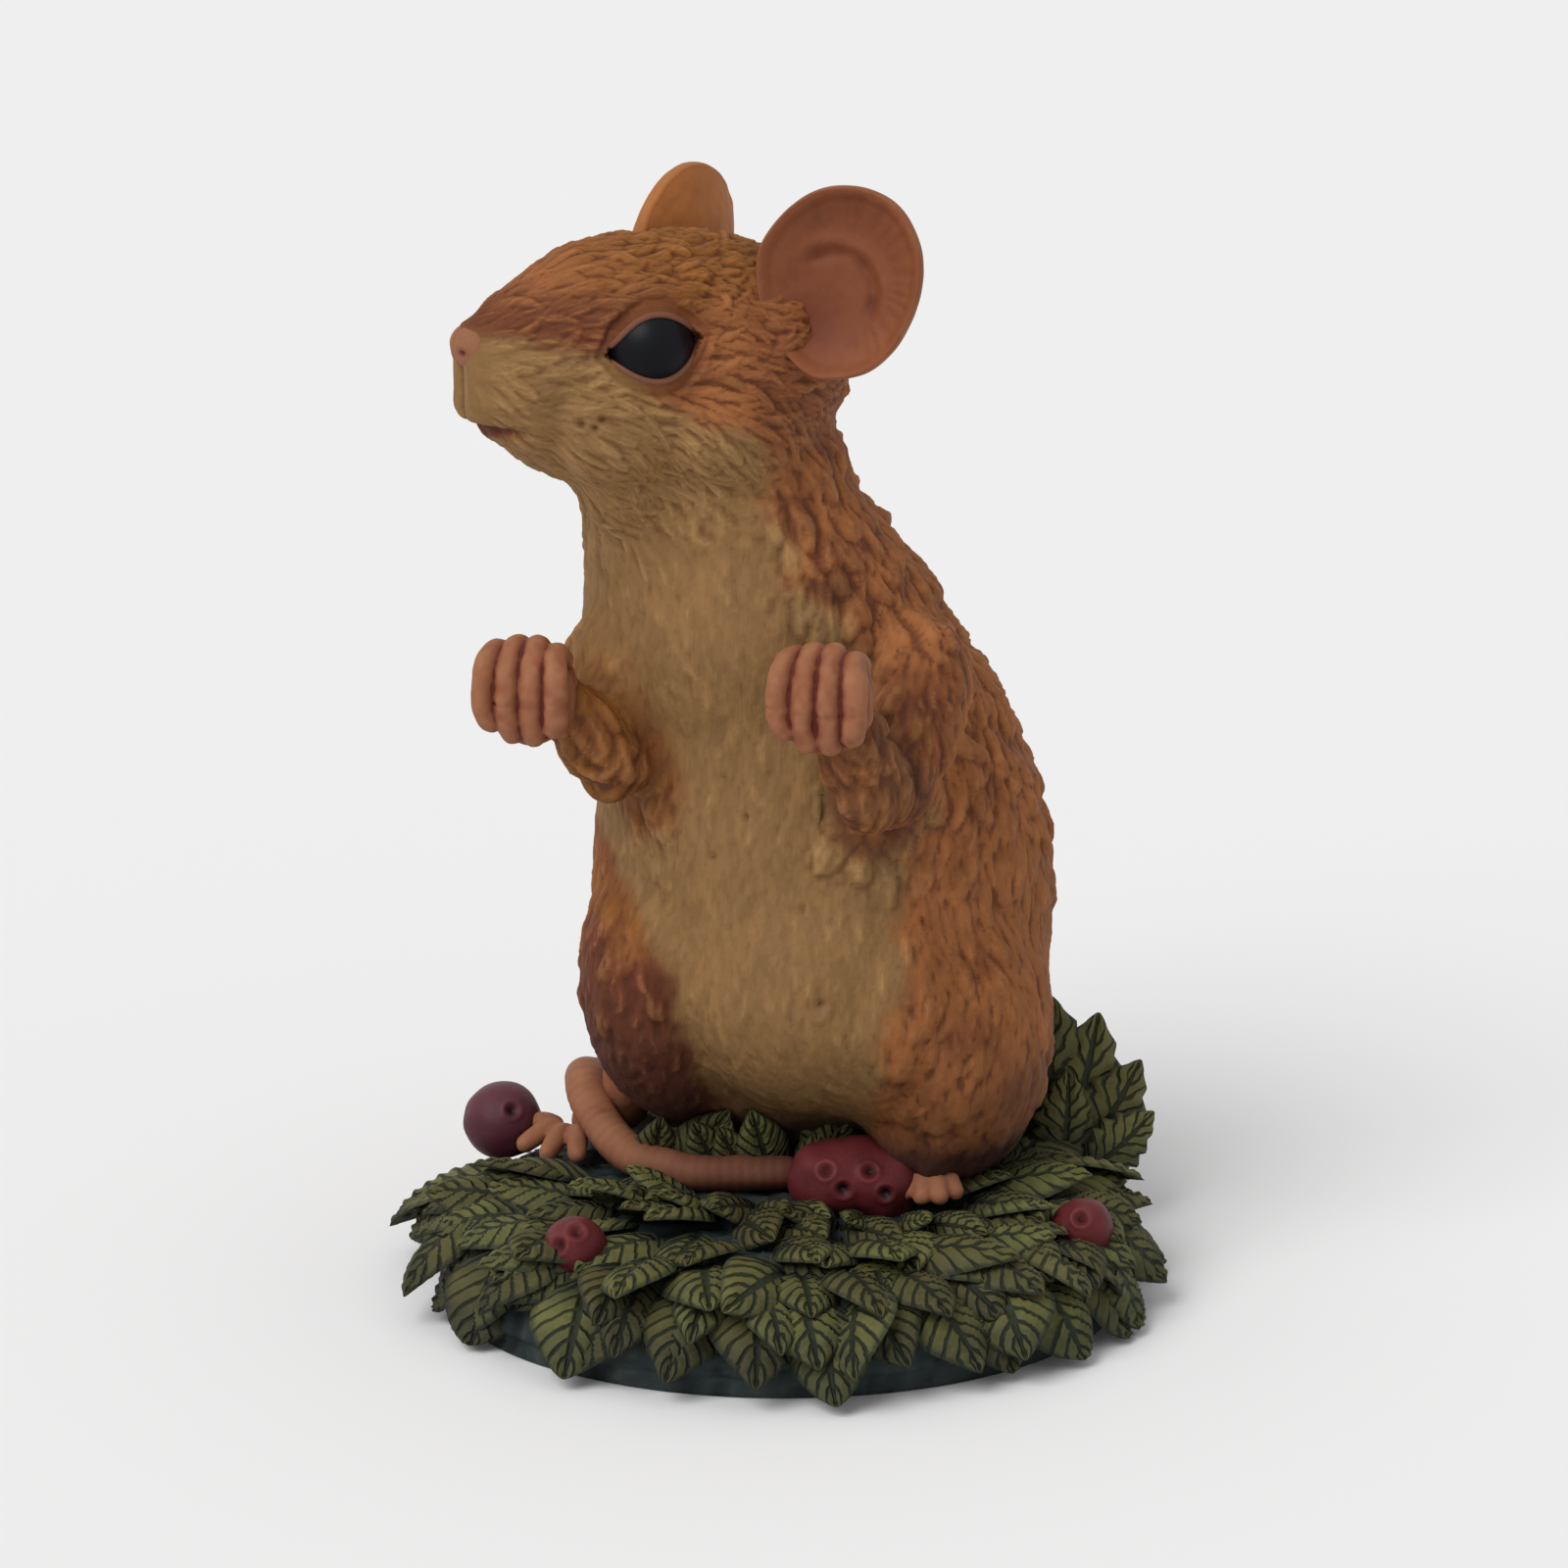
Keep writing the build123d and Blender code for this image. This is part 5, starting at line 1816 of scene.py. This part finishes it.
@dataclass
class LeafBed:
    """A layer of leaves laid round the mound."""

    name: str
    nodes: Sequence[str] = ()
    count: int = 0
    length: float = 0.0
    width: float = 0.0
    inset: float = 0.0
    lift_deg: float = 0.0
    bend_deg: float = 0.0
    seed: int = 0
    # painted shade: the share of the colour left at a leaf's root
    root_unshaded: float = 0.35
    thickness: float = 0.5
    teeth: float = 0.035
    teeth_count: float = 15.0
    lowest: float = 0.3
    low_bend: float = 2.2

    def surface(
        self, root: Array, along: Array, normal: Array, length: Array, width: Array, bend: Array, tone: Array
    ) -> tuple[Form, dict[str, Array], Array, Array]:
        """All the leaves at once, as flattened tubes from root to tip.

        The midrib is an arc with its own bend. The half width is the sine of the share of the length to
        the power 0.8, with small teeth. The blade droops to its edges, the midrib and swept side veins
        are pressed in, and the lobes between them swell.

        Args:
            root: Root places, (n, 3).
            along: Directions from root to tip.
            normal: Directions out of the leaf's face.
            length: Lengths.
            width: Widths.
            bend: Angles in radians through which the midrib turns.
            tone: A number from 0 to 1 for each leaf.

        Returns:
            The form, its fields, and the share along and the place across for each point.
        """
        count = len(root)
        across_axis = np.cross(along, normal)
        u = (0.5 - 0.5 * np.cos(np.linspace(0.0, math.pi, 46)) * 0.985)[None, :, None]
        lap = turns(34)[None, None, :]
        v = np.cos(lap) * np.ones_like(u)
        long, wide, turn = (values.reshape(count, 1, 1) for values in (length, width, bend))
        zigzag = np.abs((u * self.teeth_count) % 1.0 - 0.5) * 4 - 1
        teeth = 1 + self.teeth * zigzag * ease(0.12, 0.25, u) * ease(0.99, 0.85, u)
        half = np.maximum(0.5 * wide * np.sin(math.pi * u**0.8) ** 0.85 * teeth, 0.06)
        angle = turn * u
        safe = np.where(np.abs(turn) < 1e-3, 1e-3, turn)
        sweep = (u * long - np.abs(v) * half * 0.85) / (VEIN_PITCH * long)
        lobe = 0.5 + 0.5 * np.cos(2 * math.pi * sweep + math.pi)
        ribbed = bell(v * half, 0.28)
        swell = (0.34 * lobe * (1 - ribbed) - 0.42 * ribbed) * np.minimum(1.0, half / 1.2)
        swell = swell * (1 - np.abs(v) ** 6)
        droop = -0.16 * half * v**2 - 0.3 * (half * v / 3.2) ** 2
        skin = 0.5 * self.thickness * np.sqrt(np.clip(1 - v**2, 0.03, 1)) * np.minimum(1, half / 0.8)
        rise = droop + np.where(np.sin(lap) >= 0, skin + swell, -skin + 0.4 * swell)
        x = half * v
        y = long * np.sin(angle) / safe + rise * np.sin(angle)
        z = -long * (1 - np.cos(angle)) / safe + rise * np.cos(angle)
        place = (
            root[:, None, None, :]
            + x[..., None] * across_axis[:, None, None, :]
            + y[..., None] * along[:, None, None, :]
            + z[..., None] * normal[:, None, None, :]
        )
        place[..., 2] = kept_above(place[..., 2], self.lowest, self.low_bend)
        one = capped(place[0])
        each = len(one.points)
        shift = (np.arange(count) * each)[:, None, None]
        ends = np.stack([place[:, 0].mean(1), place[:, -1].mean(1)], axis=1)
        points = np.concatenate([place.reshape(count, each - 2, 3), ends], axis=1)
        quads = (one.quads[None] + shift).reshape(-1, 4)
        tris = (one.tris[None] + shift).reshape(-1, 3)

        def each_leaf(values: Array, at_ends: tuple[float, float]) -> Array:
            """A number for each point of a leaf, the same for all leaves."""
            grid = np.broadcast_to(values, v.shape).ravel()
            return np.tile(np.append(grid, at_ends), (count, 1))

        share, spread = each_leaf(u, (0.0, 1.0)), each_leaf(v, (0.0, 0.0))
        # Painted shade: each leaf darkens towards its root and on its lower side, where the leaves lie over
        # one another.
        height = points[..., 2] - points[..., 2].mean(1, keepdims=True)
        outer = ease(0.0, 0.45, share) * (0.75 + 0.25 * np.clip(height, -1, 1))
        unshaded = np.clip(self.root_unshaded + (1 - self.root_unshaded) * outer, 0, 1)
        fields = {"tone": np.repeat(tone, each), "open": unshaded.ravel()}
        return Form(points.reshape(-1, 3), quads, tris), fields, share.ravel(), spread.ravel()

    def under_tail(self, root: Array, out: Array) -> Array:
        """1 for each leaf that would cross the tail, the berries or a foot, seen from above."""
        tail = curve_through(np.array(Tail.path)[3:], 60)[:, :2]
        berries = ((3.0, -4.0), (6.0, -4.0), (9.0, -4.0), (11.5, -4.0))
        feet = ((12.4, -6.4), (-20.0, 9.0), (-22.4, 8.0))
        kept = np.vstack([tail, berries, feet])
        samples = root[:, None, :2] + np.linspace(0, 1, 6)[None, :, None] * self.length * out[:, None, :2]
        gap = np.linalg.norm(samples[:, :, None, :] - kept[None, None], axis=3).min(axis=(1, 2))
        return (gap < 2.5).astype(float)

    def placed(self, mound: Mound) -> tuple[Array, ...]:
        """Roots round the mound, with seeded irregular places, turns, lifts and sizes.

        Args:
            mound: The mound that the roots stand on.

        Returns:
            What surface takes: roots, directions, lengths, widths, bends and tones.
        """
        rng = np.random.default_rng(self.seed)
        step = 2 * math.pi / self.count
        angle = step * (np.arange(self.count) + rng.uniform(-0.32, 0.32, self.count))
        inset = self.inset + rng.uniform(-1.3, 1.3, self.count)
        height, slope = mound.rim(inset)
        half_length, half_depth = mound.half_length - inset, mound.half_depth - inset
        cosine, sine = np.cos(angle), np.sin(angle)
        root = np.stack([half_length * cosine, half_depth * sine, height - 0.2], axis=1)
        out = unit(np.stack([half_depth * cosine, half_length * sine, 0 * angle], axis=1))
        swing = rng.normal(0, 0.4, self.count)[:, None]
        side = np.cross(UP, out)
        out = out * np.cos(swing) + side * np.sin(swing)
        low_lying = self.under_tail(root, out)
        lift = math.radians(self.lift_deg) * (1 - 0.95 * low_lying)
        root[:, 2] -= 0.3 * low_lying
        tilt = (slope - lift + rng.normal(0, 0.10, self.count) * (1 - low_lying))[:, None]
        along = out * np.cos(tilt) - UP * np.sin(tilt)
        normal = out * np.sin(tilt) + UP * np.cos(tilt)
        lean = (rng.normal(0, 0.3, self.count) * (1 - 0.8 * low_lying))[:, None]
        cross = np.cross(along, normal)
        normal = normal * np.cos(lean) + cross * np.sin(lean)
        length = self.length * rng.uniform(0.85, 1.18, self.count)
        width = self.width * rng.uniform(0.85, 1.15, self.count)
        bend = math.radians(self.bend_deg) * rng.uniform(0.75, 1.2, self.count)
        return root, along, normal, length, width, bend, rng.uniform(0, 1, self.count)

    def build(self, mound: Mound, leaf: Material) -> None:
        """Places and dresses the layer."""
        form, fields, along, across = self.surface(*self.placed(mound))
        piece = new_mesh_object(self.name, form, fields)
        add_uv(piece, along, across)
        finish_piece(piece, leaf, self.nodes)


@dataclass
class Sprig(LeafBed):
    """Upright lobed leaves behind the left haunch, set one by one."""

    teeth: float = 0.16
    teeth_count: float = 6.0

    def placed(self, mound: Mound) -> tuple[Array, ...]:
        """Root, direction, face, length, width, bend and tone of each upright leaf."""
        low, high = node_box("leaf_sprig")
        foot = np.array([low[0] + 0.35 * (high[0] - low[0]), (low[1] + high[1]) / 2, 6.4])
        turn = np.radians([-16.0, 0.0, 15.0, 34.0, 54.0, 8.0])
        shift = ((-1.4, 0.4, 0), (0.0, 1.4, 0), (1.4, 0.6, 0), (2.6, -0.6, 0), (3.2, -2.4, 0), (1.0, -2.2, 0))
        length = np.array([12.6, 15.2, 14.0, 11.4, 8.8, 9.6])
        along = unit(np.stack([np.sin(turn), np.full(6, 0.18), np.cos(turn)], axis=1))
        normal = unit(np.cross(np.cross(along, np.array([0.15, -1.0, 0.1])), along))
        bend = np.radians([10.0, -12.0, 14.0, 20.0, 30.0, 34.0])
        tone = np.array([0.2, 0.4, 0.7, 0.5, 0.8, 0.6])
        return foot + np.array(shift), along, normal, length, length * 0.6, bend, tone


@dataclass
class LeafRow(LeafBed):
    """A row of leaves along a bowed line, all leaning the same way, beside the tail."""

    start: tuple = (-11.6, 3.2, 8.8)
    end: tuple = (5.4, 3.2, 8.8)
    bow: float = -1.6
    lean: tuple = (0.0, -0.28, 0.85)
    facing: tuple = (0.1, -1.0, 0.35)
    fan: float = 0.55

    def placed(self, mound: Mound) -> tuple[Array, ...]:
        """Roots evenly along the line, with directions that swing from side to side."""
        rng = np.random.default_rng(self.seed)
        share = np.linspace(0, 1, self.count)
        root = np.array(self.start) + share[:, None] * (np.array(self.end) - np.array(self.start))
        root[:, 1] += self.bow * np.sin(math.pi * share)
        swing = self.fan * np.sin(share * 9.0 * self.count / 8) + rng.normal(0, 0.15, self.count)
        along = unit(np.array(self.lean) + swing[:, None] * X_AXIS)
        normal = unit(np.cross(np.cross(along, np.array(self.facing)), along))
        length = self.length * rng.uniform(0.85, 1.15, self.count)
        bend = np.radians(rng.uniform(8, self.bend_deg + 10, self.count))
        return root, along, normal, length, length * 0.62, bend, rng.uniform(0, 0.7, self.count)


@dataclass
class Berry:
    """A round berry with ringed pits."""

    node: str
    pits: tuple
    finish: Material

    def build(self) -> None:
        """A ball whose radius dips in each pit, rises in a ring round it and is a little uneven."""
        low, high = node_box(self.node)
        radius = (high[0] - low[0]) / 2
        centre = np.array([*(low + high)[:2] / 2, high[2] - radius])
        form = ellipsoid(centre, (X_AXIS, UP, Y_AXIS), (radius, radius, radius), 96)
        way = unit(form.points - centre)
        change = berry_relief(way * radius, [unit(np.array(pit, dtype=float)) * radius for pit in self.pits])
        change = change + 0.12 * lattice_noise(form.points, 1.5, 91)
        form.points = centre + way * (radius + change)[:, None]
        # The relief is raised on top and lowered underneath, so the dry brush paints light on top and the
        # wash paints shade below.
        relief = np.clip(0.5 + 1.1 * change + 0.25 * ease(-0.2, 0.9, way[:, 2]), 0, 1)
        piece = new_mesh_object(f"{self.node}_fruit", form, {"relief": relief})
        finish_piece(piece, self.finish, [self.node])


def berry_relief(points: Array, pits: list[Array]) -> Array:
    """Change of radius near ringed pits: a dip in the middle, a raised ring and a faint moat round it."""
    change = np.zeros(len(points))
    for pit in pits:
        distance = np.linalg.norm(points - pit, axis=1)
        change = change - 0.52 * bell(distance, 0.46) + 0.13 * bell(distance - 0.85, 0.22)
    return change


@dataclass
class BerryCluster:
    """The fused berries that the tail ends in."""

    finish: Material
    voxel: float = 0.18
    quick_voxel: float = 0.26

    def build(self) -> None:
        """Three balls melted together, with ringed pits pressed into their front."""
        low, high = node_box("berry_cluster")
        middle = (low + high) / 2
        balls = (
            ((low[0] + 3.9, middle[1] + 0.2, low[2] + 2.7), (4.1, 3.7, 3.5)),
            ((middle[0] + 0.6, middle[1] + 0.5, low[2] + 3.0), (3.8, 3.6, 3.4)),
            ((high[0] - 3.4, middle[1] - 0.1, low[2] + 2.4), (3.5, 3.4, 3.2)),
        )
        forms = [ellipsoid(centre, (X_AXIS, Y_AXIS, UP), halves) for centre, halves in balls]
        fruit = Sculpt.from_forms(forms, voxel_edge(self.voxel))
        fruit.relax(14)
        normals = fruit.normals()
        front = normals @ unit(np.array([-0.1, -0.8, 0.6]))
        across = np.array([low[0] + 3.2, low[0] + 4.7, middle[0] + 1.2, high[0] - 3.0])
        pits = []
        for x, z in zip(across, low[2] + np.array([4.6, 3.0, 4.4, 2.6])):
            gap = np.hypot(fruit.points[:, 0] - x, fruit.points[:, 2] - z) + 50.0 * (front < 0.3)
            pits.append(fruit.points[int(np.argmin(gap))])
        change = berry_relief(fruit.points, pits) + 0.2 * lattice_noise(fruit.points, 1.7, 92)
        fruit.points = fruit.points + normals * change[:, None]
        # The relief is raised on top and lowered underneath, so the dry brush paints light on top and the
        # wash paints shade below.
        relief = np.clip(0.5 + 1.1 * change + 0.2 * ease(0.0, 0.9, normals[:, 2]), 0, 1)
        piece = new_mesh_object("berry_cluster_fruit", Form(fruit.points, fruit.quads), {"relief": relief})
        finish_piece(piece, self.finish, ["berry_cluster"])


# Studio


@dataclass
class Studio:
    """Plain pale floor, soft light from above, and a camera at the photograph's angle."""

    distance: float = 400.0
    elevation_deg: float = 15.0
    aim_height: float = 45.3
    pixels_per_mm: float = 12.0
    image_px: float = 1600.0
    sensor: float = 36.0
    floor_tone: float = 0.94
    floor_reach: float = 6.0
    sky: float = 0.52
    sun: float = 1.75
    sun_spread_deg: float = 38.0
    sun_from: tuple = (-0.46, -0.52, 0.72)

    def build(self) -> None:
        """Adds floor, world, sun and camera."""
        self.floor()
        self.world()
        self.lamp()
        self.camera()

    def floor(self) -> None:
        """A wide square of even tone."""
        mesh = bpy.data.meshes.new("floor")
        reach = self.floor_reach
        corners = [(-reach, -reach, 0), (reach, -reach, 0), (reach, reach, 0), (-reach, reach, 0)]
        mesh.from_pydata(corners, [], [(0, 1, 2, 3)])
        floor = bpy.data.objects.new("floor", mesh)
        bpy.context.scene.collection.objects.link(floor)
        material, sheet = new_material("pale floor")
        tone = (*[self.floor_tone] * 3, 1.0)
        shader = sheet.add("ShaderNodeBsdfDiffuse", {"Color": tone})
        sheet.add("ShaderNodeOutputMaterial", {"Surface": shader.outputs[0]})
        mesh.materials.append(material)

    def world(self) -> None:
        """A dim even sky that the camera sees as the floor's tone."""
        world = bpy.data.worlds.new("studio")
        world.use_nodes = True
        sheet = NodeSheet(world.node_tree)
        path = sheet.add("ShaderNodeLightPath")
        seen = sheet.maths("MAXIMUM", path.outputs["Is Camera Ray"], path.outputs["Is Transmission Ray"])
        seen = sheet.maths("MAXIMUM", seen, path.outputs["Is Glossy Ray"])
        color = sheet.mix(seen, (*[self.sky] * 3, 1.0), (*[self.floor_tone] * 3, 1.0))
        light = sheet.add("ShaderNodeBackground", {"Color": color, "Strength": 1.0})
        sheet.add("ShaderNodeOutputWorld", {"Surface": light.outputs[0]})
        bpy.context.scene.world = world

    def lamp(self) -> None:
        """One broad soft sun."""
        data = bpy.data.lights.new("softbox", "SUN")
        data.energy = self.sun
        data.angle = math.radians(self.sun_spread_deg)
        lamp = bpy.data.objects.new("softbox", data)
        bpy.context.scene.collection.objects.link(lamp)
        way = -unit(np.array(self.sun_from))
        lamp.rotation_mode = "QUATERNION"
        lamp.rotation_quaternion = Vector(way).to_track_quat("-Z", "Y")

    def camera(self) -> None:
        """A long lens aimed at the middle of the figurine."""
        data = bpy.data.cameras.new("camera")
        data.lens = self.sensor * self.pixels_per_mm * self.distance / self.image_px
        data.sensor_width = self.sensor
        data.clip_end = 50.0
        camera = bpy.data.objects.new("camera", data)
        bpy.context.scene.collection.objects.link(camera)
        rise = math.radians(self.elevation_deg)
        aim = self.aim_height * UP
        place = aim + self.distance * (math.sin(rise) * UP - math.cos(rise) * Y_AXIS)
        camera.location = Vector(place * MM)
        way = Vector(aim - place)
        camera.rotation_mode = "QUATERNION"
        camera.rotation_quaternion = way.to_track_quat("-Z", "Y")
        bpy.context.scene.camera = camera
        bpy.context.scene.view_settings.view_transform = "Standard"


def main() -> None:
    """Builds the pieces in order."""
    logging.basicConfig(level=logging.INFO, format="%(name)s %(message)s")
    leaf = LeafPaint().material()
    mound = Mound()
    mound.build(MoundPaint().material())
    # count, length, width, inset, lift, bend, seed, the share of the colour that the painted shade leaves at
    # the root
    for bed in (
        LeafBed("leaf_skirt_blades", ["leaf_skirt"], 44, 10.4, 7.6, 3.8, 9.0, 52.0, 101, 0.2),
        LeafBed("leaf_rim_blades", [], 46, 8.6, 6.2, 6.0, 15.0, 44.0, 108, 0.15),
        LeafBed("leaf_shoulder_blades", ["leaf_shoulder"], 40, 10.0, 7.0, 8.6, 16.0, 42.0, 102, 0.3),
        LeafBed("leaf_crown_blades", ["leaf_crown"], 34, 9.6, 6.4, 13.4, 24.0, 34.0, 103, 0.35),
        LeafBed("leaf_inner_blades", [], 26, 8.8, 5.8, 18.0, 28.0, 30.0, 105, 0.3),
        LeafBed("leaf_seat_blades", [], 20, 8.2, 5.4, 22.4, 32.0, 22.0, 107, 0.3),
        LeafRow("leaf_leaning_blades", count=9, length=7.4, bend_deg=20.0, seed=106, root_unshaded=0.5),
        LeafRow(
            "leaf_tail_blades", count=13, length=6.4, bend_deg=24.0, seed=109, root_unshaded=0.4,
            start=(-17.5, 1.0, 8.6), end=(12.0, -8.6, 8.6), bow=-1.0,
            lean=(0.0, -0.85, 0.42), facing=(0.1, -1.0, 1.25), fan=0.8,
        ),
        Sprig("leaf_sprig_blades", ["leaf_sprig"]),
    ):
        bed.build(mound, leaf)
    red = BerryPaint("painted berry").material()
    plum = BerryPaint("painted dark berry", paint(78, 38, 48), dry=paint(104, 60, 66)).material()
    Berry("front_berry", ((-0.55, -1.0, 0.55), (0.15, -0.75, 1.0)), red).build()
    Berry("back_berry", ((0.35, -0.9, 0.65),), plum).build()
    Berry("side_berry", ((-0.1, -0.9, 0.8),), red).build()
    BerryCluster(red).build()
    skin = SkinPaint("painted skin").material()
    ear_tones = (paint(132, 77, 49), paint(86, 42, 29), paint(154, 102, 68), paint(104, 52, 36))
    back_tones = (paint(164, 102, 53), paint(86, 48, 28), paint(170, 116, 66), paint(112, 64, 38))
    paw_tones = (paint(136, 82, 56), paint(88, 32, 24), paint(172, 120, 86), paint(84, 32, 26))
    ear_skin = SkinPaint("painted ear", *ear_tones).material()
    back_ear = SkinPaint("painted ear back", *back_tones).material()
    Coat().build(FurPaint().material())
    lid = SkinPaint("painted lid", paint(112, 70, 52), paint(66, 36, 30), paint(132, 92, 72)).material()
    eye = EyePaint().material()
    eye = EyePaint().material()
    for side in Side:
        Eye(side).build(lid, eye)
    outline = (
        (0.0, 0.99), (22.0, 1.05), (52.0, 1.06), (70.0, 1.02), (90.0, 1.0), (111.0, 1.02),
        (128.0, 1.04), (148.0, 1.09), (164.0, 1.16), (180.0, 1.12), (210.0, 1.05), (235.0, 1.02),
        (253.0, 1.03), (266.0, 0.97), (279.0, 0.95), (293.0, 0.95), (309.0, 0.93), (334.0, 0.93),
    )
    Ear(Side.LEFT, 6.3, 7.7, (-0.26, -0.95, 0.12), 0.0, (5.2, -4.5, 88.8), outline).build(ear_skin)
    Ear(Side.RIGHT, 6.9, 7.7, (-0.80, 0.55, 0.12), 6.0, (-7.7, 11.0, 88.6)).build(back_ear)
    Nose().build(skin)
    hand = SkinPaint("painted paw", *paw_tones).material()
    Paw(Side.LEFT, (3.9, -12.8, 57.6), 19.0).build(hand)
    Paw(Side.RIGHT, (-20.6, -5.0, 56.4), 19.0).build(hand)
    left_toes = ((10.0, -6.4, 10.2), (11.7, -7.5, 10.2), (13.4, -7.4, 10.2), (15.0, -6.2, 10.2))
    Foot(Side.LEFT, (14.4, 3.6, 11.0), (12.4, -2.4, 11.2), left_toes).build(skin)
    right_toes = ((-24.6, 12.0, 9.6), (-23.6, 8.6, 9.4), (-21.2, 6.0, 9.4), (-18.2, 5.0, 9.6))
    shank = ((-12.8, 7.0, 20.5), (-13.8, 9.8, 15.0), (-14.6, 12.2, 10.8))
    Foot(Side.RIGHT, (-13.4, 15.4, 10.8), (-18.4, 11.2, 10.4), right_toes, shank).build(skin)
    Tail().build(skin)
    Studio().build()


if __name__ == "__main__":
    main()
